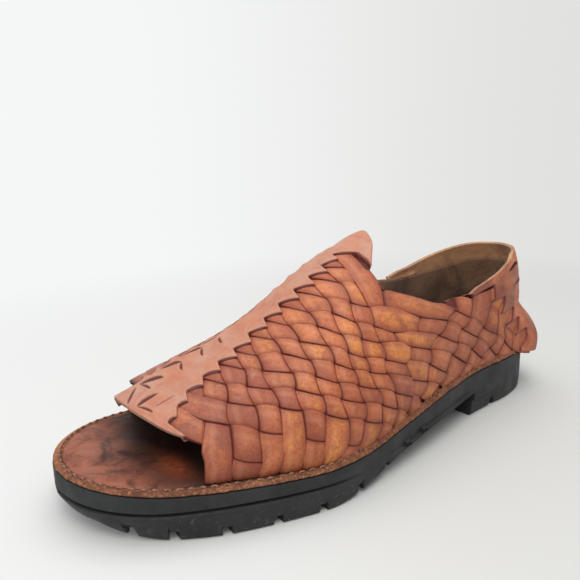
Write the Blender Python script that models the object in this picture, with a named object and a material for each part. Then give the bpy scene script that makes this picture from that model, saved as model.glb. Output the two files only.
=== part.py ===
# Huarache sandal, left shoe, with the toe along +X, the outer side of the
# foot along +Y, the floor at z = 0 and the origin under the heel's centre.
# Tables count lengths from the back of the heel.
import bpy
import bmesh
import math
import numpy as np

# Driving sizes in metres
LENGTH = 0.292
BALL_WIDTH = 0.110
INSTEP_HEIGHT = 0.104
COLLAR_HEIGHT = 0.0885
HEEL_HEIGHT = 0.026
WALL = 0.002
STRIP_RAISE = 0.00045
SEAT_GAP = 0.0003
RIM_THICK = 0.003
RIM_BEAD = 0.0012
RIM_BEAD_WIDE = 0.0034
FOOTBED_THICK = 0.0016
FOOT_LIFT = 0.0003
BAND_THICK = 0.002
COUNTER_THICK = 0.0022
COUNTER_FLARE = 0.0104
COUNTER_DROP = 0.004
CUP_NARROW = 0.005
GROOVE_DEEP = 0.0013
GROOVE_WIDE = 0.0016
EDGE_ROUND = 0.0022
RIM_STEP = 0.0044
FOOTBED_INSET = 0.0102
FOOTBED_TOE_INSET = 0.0053
NOTCH_WIDE = 0.0038
NOTCH_HIGH = 0.0032

# Places along the foot that follow the length
HEEL_CENTRE = 0.1233 * LENGTH
FAN_RADIUS = 0.1027 * LENGTH
REAR = HEEL_CENTRE - FAN_RADIUS * math.pi / 2
HEEL_BREAST = 0.257 * LENGTH
BAND_REAR = 0.428 * LENGTH
COLLAR_START = 0.4777 * LENGTH
THROAT = 0.4863 * LENGTH
TOE_EDGE = 0.9024 * LENGTH
TOE_TURN = 0.7705 * LENGTH

# Sole outline: share of length, outer and inner half width as shares of the ball width
OUTLINE = [
    (0.000, 0.000, 0.000),
    (0.012, 0.118, 0.114),
    (0.048, 0.218, 0.205),
    (0.120, 0.286, 0.273),
    (0.190, 0.307, 0.282),
    (0.257, 0.332, 0.268),
    (0.340, 0.386, 0.241),
    (0.428, 0.441, 0.236),
    (0.514, 0.495, 0.259),
    (0.600, 0.550, 0.332),
    (0.660, 0.564, 0.382),
    (0.728, 0.536, 0.423),
    (0.795, 0.491, 0.441),
    (0.856, 0.439, 0.425),
    (0.911, 0.373, 0.377),
    (0.950, 0.291, 0.305),
    (0.980, 0.186, 0.205),
    (0.995, 0.082, 0.100),
    (1.000, -0.009, 0.009),
]
# Rubber: share of length, then top and underside as shares of the heel height
RUBBER = [
    (0.000, 1.000, 0.500),
    (0.140, 0.981, 0.485),
    (0.260, 0.954, 0.462),
    (0.340, 0.919, 0.431),
    (0.400, 0.858, 0.377),
    (0.460, 0.788, 0.308),
    (0.530, 0.712, 0.208),
    (0.600, 0.673, 0.092),
    (0.660, 0.673, 0.000),
    (0.740, 0.692, 0.000),
    (0.840, 0.746, 0.000),
    (0.900, 0.792, 0.000),
    (0.950, 0.838, 0.062),
    (1.000, 0.885, 0.177),
]
# Side groove: share of length, height as a share of the heel height, share of its depth
GROOVE = [
    (0.000, 0.462, 0.000),
    (0.600, 0.404, 0.000),
    (0.640, 0.423, 0.600),
    (0.720, 0.442, 1.000),
    (0.850, 0.485, 1.000),
    (1.000, 0.554, 1.000),
]
# Notches under the sole: share of length, where they start as a share of the heel height
NOTCHES = [
    (0.182, 0.000),
    (0.440, 0.331),
    (0.490, 0.265),
    (0.545, 0.181),
    (0.612, 0.069),
    (0.683, 0.000),
    (0.752, 0.000),
    (0.822, 0.000),
    (0.890, 0.000),
    (0.942, 0.050),
]
# Upper sections: station as a share of length; foot, bulge and shoulder, each on the
# outer and the inner side, as shares of the ball width; ridge as a share of the instep
SECTIONS = [
    (-0.038, 0.305, 0.305, 0.027, 0.027, 0.391, 0.391, 1.048),
    (0.016, 0.286, 0.286, 0.027, 0.027, 0.364, 0.373, 1.048),
    (0.070, 0.264, 0.268, 0.027, 0.032, 0.327, 0.345, 1.043),
    (0.123, 0.259, 0.259, 0.027, 0.036, 0.309, 0.327, 1.038),
    (0.188, 0.273, 0.245, 0.027, 0.055, 0.300, 0.318, 1.029),
    (0.257, 0.300, 0.223, 0.036, 0.073, 0.300, 0.309, 1.019),
    (0.325, 0.336, 0.200, 0.045, 0.091, 0.309, 0.300, 1.010),
    (0.394, 0.377, 0.191, 0.055, 0.100, 0.309, 0.291, 1.000),
    (0.462, 0.423, 0.191, 0.064, 0.100, 0.318, 0.282, 0.971),
    (0.531, 0.473, 0.223, 0.073, 0.091, 0.327, 0.273, 0.904),
    (0.599, 0.509, 0.273, 0.059, 0.073, 0.345, 0.264, 0.798),
    (0.651, 0.518, 0.314, 0.045, 0.055, 0.345, 0.255, 0.707),
    (0.702, 0.495, 0.350, 0.036, 0.045, 0.327, 0.255, 0.635),
    (0.753, 0.455, 0.377, 0.027, 0.036, 0.300, 0.255, 0.582),
    (0.805, 0.418, 0.382, 0.023, 0.027, 0.264, 0.245, 0.534),
    (0.856, 0.382, 0.364, 0.018, 0.023, 0.245, 0.236, 0.481),
    (0.904, 0.336, 0.323, 0.018, 0.018, 0.227, 0.218, 0.438),
]
# Collar: station, woven edge and heel piece edge as shares of the collar height
COLLAR = [
    (-0.038, 0.904, 1.000),
    (0.016, 0.893, 0.994),
    (0.070, 0.859, 0.972),
    (0.123, 0.825, 0.932),
    (0.178, 0.802, 0.876),
    (0.240, 0.791, 0.831),
    (0.315, 0.808, 0.825),
    (0.363, 0.802, 0.825),
    (0.421, 0.864, 0.870),
    (0.478, 0.927, 0.927),
]
# Front edge of the woven wall: share of the way up, station
FRONT = [
    (0.000, 0.841),
    (0.150, 0.839),
    (0.320, 0.834),
    (0.420, 0.851),
    (0.520, 0.868),
    (0.680, 0.885),
    (0.840, 0.896),
    (1.000, 0.902),
]
# Side edge of the centre band: station, share of the way up
BAND = [
    (0.428, 0.995),
    (0.433, 0.965),
    (0.445, 0.935),
    (0.466, 0.920),
    (0.548, 0.925),
    (0.695, 0.905),
    (0.760, 0.830),
    (0.822, 0.730),
    (0.863, 0.610),
    (0.897, 0.480),
]
# Front edge of the heel piece: share of the way up, station
COUNTER = [
    (0.000, 0.058),
    (0.080, 0.082),
    (0.160, 0.123),
    (0.260, 0.147),
    (0.360, 0.168),
    (0.420, 0.192),
    (0.600, 0.226),
]
# Cross strips, toe to heel: station of the front edge low, half way and high
CROSS = [
    (0.877, 0.870, 0.836),
    (0.839, 0.818, 0.784),
    (0.805, 0.783, 0.750),
    (0.767, 0.750, 0.723),
    (0.733, 0.719, 0.693),
    (0.705, 0.688, 0.661),
    (0.675, 0.654, 0.630),
    (0.644, 0.620, 0.599),
    (0.610, 0.589, 0.568),
    (0.572, 0.562, 0.538),
    (0.531, 0.531, 0.507),
    (0.479, 0.493, 0.473),
    (0.442, 0.288, 0.253),
    (0.377, 0.212, 0.171),
    (0.312, 0.151, 0.110),
    (0.233, 0.116, 0.075),
    (0.158, 0.075, 0.034),
    (0.082, 0.014, -0.027),
    (0.014, -0.041, -0.068),
]
# Long strips, low to high: station and share up at the front, at two places
# on the way, and the station where the strip meets the sole
LONG = [
    (0.863, 0.570, 0.822, 0.280, 0.788, 0.140, 0.723),
    (0.842, 0.660, 0.771, 0.360, 0.668, 0.140, 0.568),
    (0.822, 0.730, 0.736, 0.450, 0.630, 0.210, 0.521),
    (0.791, 0.780, 0.702, 0.510, 0.592, 0.240, 0.476),
    (0.760, 0.830, 0.671, 0.540, 0.562, 0.260, 0.428),
    (0.729, 0.870, 0.640, 0.560, 0.514, 0.250, 0.366),
    (0.695, 0.900, 0.616, 0.580, 0.462, 0.240, 0.322),
    (0.661, 0.920, 0.589, 0.590, 0.408, 0.250, 0.253),
    (0.630, 0.930, 0.548, 0.560, 0.360, 0.260, 0.205),
    (0.599, 0.930, 0.507, 0.560, 0.329, 0.300, 0.168),
    (0.568, 0.930, 0.466, 0.590, 0.315, 0.370, 0.123),
]


def smooth(rows, col, across, up):
    """Curve through one column of a table whose shares follow two sizes."""
    xs = np.array([r[0] for r in rows], float) * across
    ys = np.array([r[col] for r in rows], float) * up
    step = np.diff(xs)
    rise = np.diff(ys) / step
    slope = np.zeros_like(ys)
    slope[1:-1] = (step[1:] * rise[:-1] + step[:-1] * rise[1:]) / (step[1:] + step[:-1])
    slope[0] = rise[0]
    slope[-1] = rise[-1]

    def curve(x):
        x = np.asarray(x, float)
        i = np.clip(np.searchsorted(xs, x) - 1, 0, len(xs) - 2)
        h = step[i]
        t = np.clip((x - xs[i]) / h, 0.0, 1.0)
        a = (2 * t**3 - 3 * t**2 + 1) * ys[i] + (t**3 - 2 * t**2 + t) * h * slope[i]
        b = (3 * t**2 - 2 * t**3) * ys[i + 1] + (t**3 - t**2) * h * slope[i + 1]
        return a + b

    return curve


rubber_top = smooth(RUBBER, 1, 1.0, HEEL_HEIGHT)
rubber_low = smooth(RUBBER, 2, 1.0, HEEL_HEIGHT)
groove_height = smooth(GROOVE, 1, 1.0, HEEL_HEIGHT)
groove_share = smooth(GROOVE, 2, 1.0, 1.0)
WIDE_CURVES = [smooth(SECTIONS, k, LENGTH, BALL_WIDTH) for k in range(1, 7)]
ridge_height = smooth(SECTIONS, 7, LENGTH, INSTEP_HEIGHT)
woven_edge = smooth(COLLAR, 1, LENGTH, COLLAR_HEIGHT)
counter_edge = smooth(COLLAR, 2, LENGTH, COLLAR_HEIGHT)
front_edge = smooth(FRONT, 1, 1.0, LENGTH)
band_edge = smooth(BAND, 1, LENGTH, 1.0)
counter_front = smooth(COUNTER, 1, 1.0, LENGTH)


def top_at(x):
    """Height of the rubber's top."""
    return rubber_top(np.asarray(x) / LENGTH)


def outline(count):
    """Closed outline, toe tip first, outer side, heel, inner side."""
    sides = []
    for col, sign in ((1, 1.0), (2, -1.0)):
        pts = np.array([(r[0] * LENGTH, sign * r[col] * BALL_WIDTH) for r in OUTLINE[::-1]])
        pts[0, 1] = 0.0
        run = np.r_[0.0, np.cumsum(np.hypot(*np.diff(pts, axis=0).T))]
        rows = [(a, p[0], p[1]) for a, p in zip(run, pts)]
        at = np.linspace(0.0, run[-1], count + 1)
        sides.append(np.stack([smooth(rows, 1, 1.0, 1.0)(at), smooth(rows, 2, 1.0, 1.0)(at)], 1))
    outer, inner = sides
    return np.concatenate([outer, inner[1:-1][::-1]])


def inset(loop, amount):
    """Move a closed loop inwards along its normals."""
    ahead = np.roll(loop, -1, axis=0)
    back = np.roll(loop, 1, axis=0)
    run = ahead - back
    run /= np.linalg.norm(run, axis=1)[:, None]
    normal = np.stack([run[:, 1], -run[:, 0]], 1)
    centre = loop.mean(axis=0)
    if ((centre - loop) * normal).sum() < 0:
        normal = -normal
    return loop + normal * np.asarray(amount)[..., None]


def section(station, side, share, lift=0.0):
    """Point on the upper: station along the foot, share of the way up."""
    station = np.asarray(station, float)
    share = np.asarray(share, float)
    k = 0 if side > 0 else 1
    foot = WIDE_CURVES[0 + k](station)
    bulge = WIDE_CURVES[2 + k](station)
    shoulder = WIDE_CURVES[4 + k](station)
    ridge = ridge_height(station)
    angle = np.clip((HEEL_CENTRE - station) / FAN_RADIUS, 0.0, math.pi / 2)
    origin = np.maximum(station, HEEL_CENTRE)
    dx = -np.sin(angle)
    dy = np.cos(angle)
    base = top_at(origin + dx * foot) + RIM_THICK + FOOT_LIFT
    tall = ridge - base
    drop = 0.05
    if side < 0:
        drop = 0.05 + 0.09 * np.clip((station - HEEL_CENTRE) / (THROAT - HEEL_CENTRE), 0.0, 1.0)
    w = [(1 - share) ** 3, 3 * (1 - share) ** 2 * share, 3 * (1 - share) * share**2, share**3]
    r = w[0] * foot + w[1] * (foot + bulge) + w[2] * shoulder
    z = w[0] * base + w[1] * (base + 0.42 * tall) + w[2] * (ridge - drop * tall) + w[3] * ridge
    cup = np.clip((0.171 * LENGTH - station) / (0.103 * LENGTH), 0.0, 1.0)
    rise = np.clip(share / 0.3, 0.0, 1.0)
    r = r - CUP_NARROW * cup * cup * (3 - 2 * cup) * rise * rise * (3 - 2 * rise)
    return np.stack([origin + dx * r, side * dy * r, z], -1)


def lifted(station, side, share, lift):
    """The same point moved off the surface along its normal."""
    here = section(station, side, share)
    near = 0.002 * LENGTH
    ahead = section(np.asarray(station) + near, side, share)
    along = ahead - section(np.asarray(station) - near, side, share)
    low = np.clip(np.asarray(share) - 0.01, 0.0, 0.98)
    up = section(station, side, low + 0.02) - section(station, side, low)
    normal = np.cross(along, up) * side
    normal /= np.linalg.norm(normal, axis=-1)[..., None]
    middle = (np.asarray(share) > 0.999) | (np.asarray(station) < REAR + 0.00001)
    normal[..., 1] = np.where(middle, 0.0, normal[..., 1])
    normal /= np.linalg.norm(normal, axis=-1)[..., None]
    return here - normal * np.asarray(lift)[..., None]


def share_at_height(station, side, height):
    """Share of the way up at which the wall reaches a height."""
    grid = np.linspace(0.0, 1.0, 201)
    z = section(np.full_like(grid, station), side, grid)[:, 2]
    return float(np.interp(height, z, grid))


def cross_line(number, share):
    """Station of a cross strip's front edge at a share of the way up."""
    count = np.arange(len(CROSS))
    low, mid, high = [np.interp(number, count, [r[k] * LENGTH for r in CROSS]) for k in range(3)]
    if share < 0.5:
        return low + (mid - low) * share / 0.5
    return mid + (high - mid) * (share - 0.5) / 0.45


def strip_rows(station, share):
    """Running number of the cross strip and the long strip at a point."""
    count = np.arange(len(CROSS))
    edges = [cross_line(k, share) for k in count]
    cross = np.interp(station, edges[::-1], count[::-1])
    shares = []
    for row in LONG:
        us = [row[6], row[4], row[2], row[0]]
        ss = [0.0, row[5], row[3], row[1]]
        place = station / LENGTH
        beyond = min(0.0, place - row[6]) * 2.3
        ahead = max(0.0, place - row[0]) * 5.8
        shares.append(np.interp(place, us, ss) + beyond + ahead)
    long = np.interp(share, shares, np.arange(len(LONG)), left=-1.0, right=len(LONG) + 0.0)
    return cross, long


def weave(station, share):
    """Plain weave: raised and sunk crossings in turn, from -1 to 1."""
    cross, long = strip_rows(station, share)
    return math.sin(math.pi * cross) * math.sin(math.pi * long)


def make_object(name, verts, faces, colour, rough):
    """Write one closed mesh and give it its own material."""
    mesh = bpy.data.meshes.new(name)
    moved = [(float(v[0]) - HEEL_CENTRE, float(v[1]), float(v[2])) for v in verts]
    mesh.from_pydata(moved, [], faces)
    obj = bpy.data.objects.new(name, mesh)
    bpy.context.scene.collection.objects.link(obj)
    bm = bmesh.new()
    bm.from_mesh(mesh)
    bmesh.ops.remove_doubles(bm, verts=bm.verts, dist=0.00002)
    bmesh.ops.dissolve_degenerate(bm, edges=bm.edges, dist=0.00001)
    bmesh.ops.recalc_face_normals(bm, faces=bm.faces)
    if bm.calc_volume(signed=True) < 0:
        bmesh.ops.reverse_faces(bm, faces=bm.faces)
    bmesh.ops.triangulate(bm, faces=bm.faces)
    bm.to_mesh(mesh)
    bm.free()
    mat = bpy.data.materials.new(name + "_look")
    mat.use_nodes = True
    shader = mat.node_tree.nodes["Principled BSDF"]
    shader.inputs["Base Color"].default_value = (*colour, 1.0)
    shader.inputs["Roughness"].default_value = rough
    shader.inputs["Metallic"].default_value = 0.0
    mat.diffuse_color = (*colour, 1.0)
    mesh.materials.append(mat)
    return obj


def slab(rings, tops, lows):
    """Closed body from stacked outline rings, with ruled caps."""
    count = len(rings[0])
    half = count // 2
    verts = [tuple(p) for ring in rings for p in ring]
    faces = []
    for k in range(len(rings) - 1):
        for i in range(count):
            j = (i + 1) % count
            faces.append((k * count + i, k * count + j, (k + 1) * count + j, (k + 1) * count + i))
    for ring_no, (cols, height) in ((0, tops), (len(rings) - 1, lows)):
        ring = rings[ring_no]
        rows = []
        for i in range(half + 1):
            a = ring_no * count + i
            b = ring_no * count + (count - i) % count
            row = [a]
            if 0 < i < half:
                for share in cols:
                    x = ring[i][0] + (ring[count - i][0] - ring[i][0]) * share
                    y = ring[i][1] + (ring[count - i][1] - ring[i][1]) * share
                    verts.append((x, y, height(x, y)))
                    row.append(len(verts) - 1)
                row.append(b)
            rows.append(row)
        for i in range(half):
            one, two = rows[i], rows[i + 1]
            if len(one) == 1:
                faces += [(one[0], two[k], two[k + 1]) for k in range(len(two) - 1)]
            elif len(two) == 1:
                faces += [(one[k], one[k + 1], two[0]) for k in range(len(one) - 1)]
            else:
                faces += [(one[k], one[k + 1], two[k + 1], two[k]) for k in range(len(one) - 1)]
    return verts, faces


def ring_at(loop, amount, height):
    """Outline moved inwards and set at a height that follows the length."""
    flat = inset(loop, np.full(len(loop), 0.0) + amount)
    return [(x, y, float(height(x))) for x, y in flat]


def cut(obj, tool, operation):
    """Apply one exact Boolean and remove the tool."""
    tool.hide_render = True
    tool.display_type = "WIRE"
    mod = obj.modifiers.new("cut", "BOOLEAN")
    mod.operation = operation
    mod.solver = "EXACT"
    mod.object = tool
    graph = bpy.context.evaluated_depsgraph_get()
    done = bpy.data.meshes.new_from_object(obj.evaluated_get(graph))
    obj.modifiers.remove(mod)
    old = obj.data
    obj.data = done
    bpy.data.meshes.remove(old)
    bpy.data.objects.remove(tool, do_unlink=True)


def block(name, low, high):
    """Plain box between two corners."""
    xs = (low[0], high[0])
    ys = (low[1], high[1])
    zs = (low[2], high[2])
    verts = [(x, y, z) for x in xs for y in ys for z in zs]
    faces = [(0, 1, 3, 2), (4, 6, 7, 5), (0, 4, 5, 1), (2, 3, 7, 6), (0, 2, 6, 4), (1, 5, 7, 3)]
    return make_object(name, verts, faces, (0.1, 0.1, 0.1), 0.8)


def build_outsole():
    """Moulded rubber unit: shank, forefoot, side groove, heel and lugs."""
    loop = outline(38)
    share = loop[:, 0] / LENGTH
    deep = GROOVE_DEEP * groove_share(share)
    gap = GROOVE_WIDE / 2
    edge_high = EDGE_ROUND * 0.41

    def low(x):
        return max(0.0, float(rubber_low(x / LENGTH)))

    def mid(x):
        return float(groove_height(x / LENGTH))

    rings = [
        ring_at(loop, EDGE_ROUND, top_at),
        ring_at(loop, edge_high, top_at),
        ring_at(loop, 0.0, lambda x: top_at(x) - edge_high),
        ring_at(loop, 0.0, lambda x: max(mid(x) + gap, low(x) + EDGE_ROUND * 1.1)),
        ring_at(loop, deep, lambda x: max(mid(x), low(x) + EDGE_ROUND)),
        ring_at(loop, 0.0, lambda x: max(mid(x) - gap, low(x) + EDGE_ROUND * 0.9)),
        ring_at(loop, edge_high, lambda x: low(x) + edge_high),
        ring_at(loop, EDGE_ROUND, low),
    ]
    cols = (0.12, 0.3, 0.5, 0.7, 0.88)
    verts, faces = slab(rings, (cols, lambda x, y: float(top_at(x))), (cols, lambda x, y: low(x)))
    body = make_object("outsole", verts, faces, (0.035, 0.038, 0.038), 0.75)
    edge = inset(loop, np.full(len(loop), EDGE_ROUND * 0.23))
    heel = [p for p in edge if p[0] < HEEL_BREAST - edge_high]
    heel.sort(key=lambda p: math.atan2(p[1], p[0] - HEEL_BREAST) % (2 * math.pi))
    ys = [p[1] for p in heel]
    heel = [(HEEL_BREAST, max(ys))] + [tuple(p) for p in heel] + [(HEEL_BREAST, min(ys))]
    centre = np.mean(heel, axis=0)
    levels = ((0.965, 0.0), (0.995, 0.05 * HEEL_HEIGHT), (1.0, 0.58 * HEEL_HEIGHT))
    verts = []
    for scale, z in levels:
        verts += [tuple(centre + (np.array(p) - centre) * scale) + (z,) for p in heel]
    n = len(heel)
    faces = [tuple(range(n))[::-1], tuple(range(2 * n, 3 * n))]
    for k in range(2):
        for i in range(n):
            j = (i + 1) % n
            faces.append((k * n + i, k * n + j, (k + 1) * n + j, (k + 1) * n + i))
    cut(body, make_object("heel_form", verts, faces, (0.1, 0.1, 0.1), 0.8), "UNION")
    for place, floor in NOTCHES:
        x = place * LENGTH
        half = NOTCH_WIDE / 2
        low_at = floor * HEEL_HEIGHT
        high = low_at + NOTCH_HIGH * (1.0 if floor < 0.1 else 0.7)
        tool = block("notch", (x - half, -BALL_WIDTH, -HEEL_HEIGHT), (x + half, BALL_WIDTH, high))
        cut(body, tool, "DIFFERENCE")
    return body


def build_rim():
    """Leather board under the strips, its edge raised as a bead."""
    loop = outline(32)
    wide = RIM_BEAD_WIDE

    def bead(x):
        t = float(np.clip((x / LENGTH - 0.61) / 0.082, 0.0, 1.0))
        return t * t * (3 - 2 * t)

    def level(add, rise=0.0):
        return lambda x: float(top_at(x)) + add + rise * bead(x)

    rings = [
        ring_at(loop, RIM_STEP, level(RIM_THICK)),
        ring_at(loop, wide, level(RIM_THICK, 0.17 * RIM_BEAD)),
        ring_at(loop, 0.7 * wide, level(RIM_THICK, RIM_BEAD)),
        ring_at(loop, 0.38 * wide, level(RIM_THICK, RIM_BEAD)),
        ring_at(loop, 0.15 * wide, level(0.7 * RIM_THICK, RIM_BEAD)),
        ring_at(loop, 0.18 * wide, level(SEAT_GAP + 0.17 * RIM_THICK)),
        ring_at(loop, 0.3 * wide, level(SEAT_GAP)),
    ]
    cols = (0.25, 0.5, 0.75)
    top = (cols, lambda x, y: float(top_at(x)) + RIM_THICK)
    low = (cols, lambda x, y: float(top_at(x)) + SEAT_GAP)
    verts, faces = slab(rings, top, low)
    return make_object("leather_rim", verts, faces, (0.22, 0.09, 0.05), 0.7)


def build_insole():
    """Footbed: full at the toe, inside the woven wall further back."""
    loop = outline(30)
    x = loop[:, 0]
    blend = np.clip((x / LENGTH - 0.856) / 0.048, 0.0, 1.0)
    blend = blend * blend * (3 - 2 * blend)
    foot = inset(loop, FOOTBED_INSET + (FOOTBED_TOE_INSET - FOOTBED_INSET) * blend)

    def level(add):
        return lambda px: float(top_at(px)) + RIM_THICK + add

    def ring(amount, add):
        flat = inset(foot, np.full(len(foot), amount))
        return [(px, py, level(add)(px)) for px, py in flat]

    rings = [
        ring(0.56 * FOOTBED_THICK, FOOTBED_THICK + SEAT_GAP),
        ring(0.0, 0.62 * FOOTBED_THICK + SEAT_GAP),
        ring(0.0, SEAT_GAP),
    ]
    cols = (0.2, 0.5, 0.8)

    def dish(px, py):
        return level(0.7 * FOOTBED_THICK + SEAT_GAP)(px)

    verts, faces = slab(rings, (cols, dish), (cols, lambda px, py: level(SEAT_GAP)(px)))
    return make_object("insole", verts, faces, (0.16, 0.06, 0.04), 0.6)


def wall_columns():
    """Columns of the woven wall: rear ones by station, vamp ones by strip."""
    rear = list(np.linspace(REAR, HEEL_CENTRE, 14))
    rear += list(np.linspace(HEEL_CENTRE, COLLAR_START, 26)[1:])
    strips = list(np.arange(11.0, 0.9, -0.5))
    return rear, strips


def strip_station(number, share):
    """Station on the vamp, with the throat and toe edges as its ends."""
    station = float(cross_line(number, share))
    if number > 10.0:
        before = float(cross_line(10.0, share))
        station = before + (THROAT - before) * (number - 10.0)
    if number < 3.0:
        after = float(cross_line(3.0, share))
        station = float(front_edge(share)) + (after - float(front_edge(share))) * (number - 1.0) / 2.0
    return station


def wall_grid(side, rows, lift, relief):
    """Grid of points on one side of the woven wall."""
    rear, strips = wall_columns()
    grid = []
    for k, place in enumerate(rear + strips):
        woven = k >= len(rear)
        end = 1.0 if woven else share_at_height(place, side, float(woven_edge(place)))
        line = []
        for step in range(rows + 1):
            share = end * step / rows
            u = strip_station(place, share) if woven else place
            add = lift
            if relief:
                under = 1.0
                if u > BAND_REAR:
                    under = float(np.clip((float(band_edge(u)) - 0.04 - share) / 0.05, 0.0, 1.0))
                if u < HEEL_CENTRE:
                    under = float(np.clip((u - REAR) / (HEEL_CENTRE - REAR), 0.0, 1.0))
                add = lift + relief * weave(u, share) * min(1.0, share / 0.04) * under
            line.append(lifted(u, side, share, add))
        grid.append(line)
    return np.array(grid), len(rear)


def zip_lines(a, b):
    """Triangles between two lines of vertex numbers of unlike length."""
    faces = []
    i = 0
    j = 0
    while i < len(a) - 1 or j < len(b) - 1:
        if j == len(b) - 1 or (i < len(a) - 1 and (i + 1) / (len(a) - 1) <= (j + 1) / (len(b) - 1)):
            faces.append((a[i], a[i + 1], b[j]))
            i += 1
        else:
            faces.append((a[i], b[j + 1], b[j]))
            j += 1
    return faces


def build_upper():
    """Woven wall: one hollow shell, open at collar, toe and underneath."""
    verts = []
    faces = []
    for side in (1, -1):
        outer, open_cols = wall_grid(side, 18, 0.0, STRIP_RAISE)
        inner, open_cols = wall_grid(side, 4, -WALL, 0.0)
        starts = []
        for grid in (outer, inner):
            start = len(verts)
            starts.append(start)
            cols, rows = grid.shape[:2]
            verts += [tuple(p) for line in grid for p in line]
            for i in range(cols - 1):
                for k in range(rows - 1):
                    a = start + i * rows + k
                    faces.append((a, a + rows, a + rows + 1, a + 1))
        cols = outer.shape[0]
        ro, ri = outer.shape[1], inner.shape[1]
        for i in range(cols - 1):
            a, b = starts[0] + i * ro, starts[0] + (i + 1) * ro
            c, d = starts[1] + (i + 1) * ri, starts[1] + i * ri
            faces.append((a, b, c, d))
            if i < open_cols:
                faces.append((a + ro - 1, b + ro - 1, c + ri - 1, d + ri - 1))
        last = cols - 1
        line_o = [starts[0] + last * ro + k for k in range(ro)]
        line_i = [starts[1] + last * ri + k for k in range(ri)]
        faces += zip_lines(line_o, line_i)
    return make_object("upper", verts, faces, (0.55, 0.24, 0.11), 0.55)


def shell(name, grid_top, grid_low, colour, rough):
    """Closed sheet of leather between two grids of the same size."""
    cols, rows = grid_top.shape[:2]
    verts = [tuple(p) for line in grid_top for p in line]
    verts += [tuple(p) for line in grid_low for p in line]
    off = cols * rows
    faces = []
    for i in range(cols - 1):
        for k in range(rows - 1):
            a = i * rows + k
            faces.append((a, a + rows, a + rows + 1, a + 1))
            faces.append((off + a, off + a + 1, off + a + rows + 1, off + a + rows))
    edge = [i * rows for i in range(cols)]
    edge += [(cols - 1) * rows + k for k in range(1, rows)]
    edge += [i * rows + rows - 1 for i in range(cols - 2, -1, -1)]
    edge += [k for k in range(rows - 2, 0, -1)]
    for i, a in enumerate(edge):
        b = edge[(i + 1) % len(edge)]
        faces.append((a, off + a, off + b, b))
    return make_object(name, verts, faces, colour, rough)


def build_band():
    """Smooth centre strip along the instep, pointed tab at the throat."""
    last = TOE_EDGE - 0.003 * LENGTH
    tab = [BAND_REAR + (THROAT - BAND_REAR) * k for k in (0.0, 0.09, 0.3, 0.65)]
    stations = tab + list(np.linspace(THROAT, last, 22))
    across = np.linspace(-1.0, 1.0, 9)
    grids = []
    for lift in (2 * SEAT_GAP, 2 * SEAT_GAP + BAND_THICK):
        grid = []
        for station in stations:
            line = []
            edge = 1.0 - float(band_edge(station))
            for a in across:
                side = 1 if a >= 0 else -1
                share = 1.0 - edge * abs(a)
                u = station
                if station > TOE_TURN:
                    end = float(front_edge(share)) + 0.2 * BAND_THICK
                    u = TOE_TURN + (station - TOE_TURN) * (end - TOE_TURN) / (last - TOE_TURN)
                line.append(lifted(u, side, share, lift))
            grid.append(line)
        grids.append(np.array(grid))
    return shell("vamp_band", grids[1], grids[0], (0.6, 0.3, 0.16), 0.5)


def build_counter():
    """Heel piece wrapped round the back, flared over the sole's edge."""
    rows = np.linspace(0.0, 1.0, 10)
    flare_start = 0.1233 * LENGTH
    flare_run = 0.082 * LENGTH
    flare_top = 0.655 * COLLAR_HEIGHT
    flare_full = 0.42 * COLLAR_HEIGHT
    grids = []
    for lift in (SEAT_GAP + STRIP_RAISE, SEAT_GAP + STRIP_RAISE + COUNTER_THICK):
        grid = []
        for turn in np.linspace(-1.0, 1.0, 29):
            side = 1 if turn >= 0 else -1
            line = []
            for k in rows:
                edge = float(counter_front(0.6 * k))
                u = REAR + (edge - REAR) * abs(turn)
                end = share_at_height(u, side, float(counter_edge(u)))
                share = 0.012 + (end - 0.012) * k
                p = lifted(u, side, share, lift)
                back = float(np.clip((flare_start - u) / flare_run, 0.0, 1.0))
                back = back * back * (3 - 2 * back)
                fall = float(np.clip((flare_top - p[2]) / (flare_top - flare_full), 0.0, 1.0))
                fall = fall * fall * (3 - 2 * fall)
                away = np.array([p[0] - HEEL_CENTRE, p[1]])
                away /= np.linalg.norm(away)
                p[:2] += away * COUNTER_FLARE * back * fall
                p[2] -= COUNTER_DROP * back * fall**3
                line.append(p)
            grid.append(line)
        grids.append(np.array(grid))
    return shell("heel_counter", grids[1], grids[0], (0.5, 0.22, 0.11), 0.55)


def main():
    for obj in list(bpy.data.objects):
        bpy.data.objects.remove(obj, do_unlink=True)
    build_outsole()
    build_rim()
    build_insole()
    build_upper()
    build_band()
    build_counter()
    for obj in bpy.data.objects:
        print(obj.name, "triangles", len(obj.data.polygons))


main()
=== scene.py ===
"""Huarache sandal: woven strips, centre band, heel piece, stitched rim, footbed and rubber sole."""
import math
import random
from functools import cache, partial
import bpy
import numpy as np
from mathutils import Matrix, Vector


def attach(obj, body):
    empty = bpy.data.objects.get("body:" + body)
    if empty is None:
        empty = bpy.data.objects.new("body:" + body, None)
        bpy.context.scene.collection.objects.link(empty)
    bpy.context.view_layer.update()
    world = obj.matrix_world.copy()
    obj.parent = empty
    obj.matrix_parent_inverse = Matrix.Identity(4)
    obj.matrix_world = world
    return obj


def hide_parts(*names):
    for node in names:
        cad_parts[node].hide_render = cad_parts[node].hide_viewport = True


bl_info = {
    "name": "Huarache Sandal",
    "version": (1, 0, 0),
    "blender": (4, 5, 0),
    "location": "View3D > Sidebar > Huarache",
    "description": "Builds a woven leather huarache sandal round its solid parts",
    "category": "Object",
}

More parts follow.
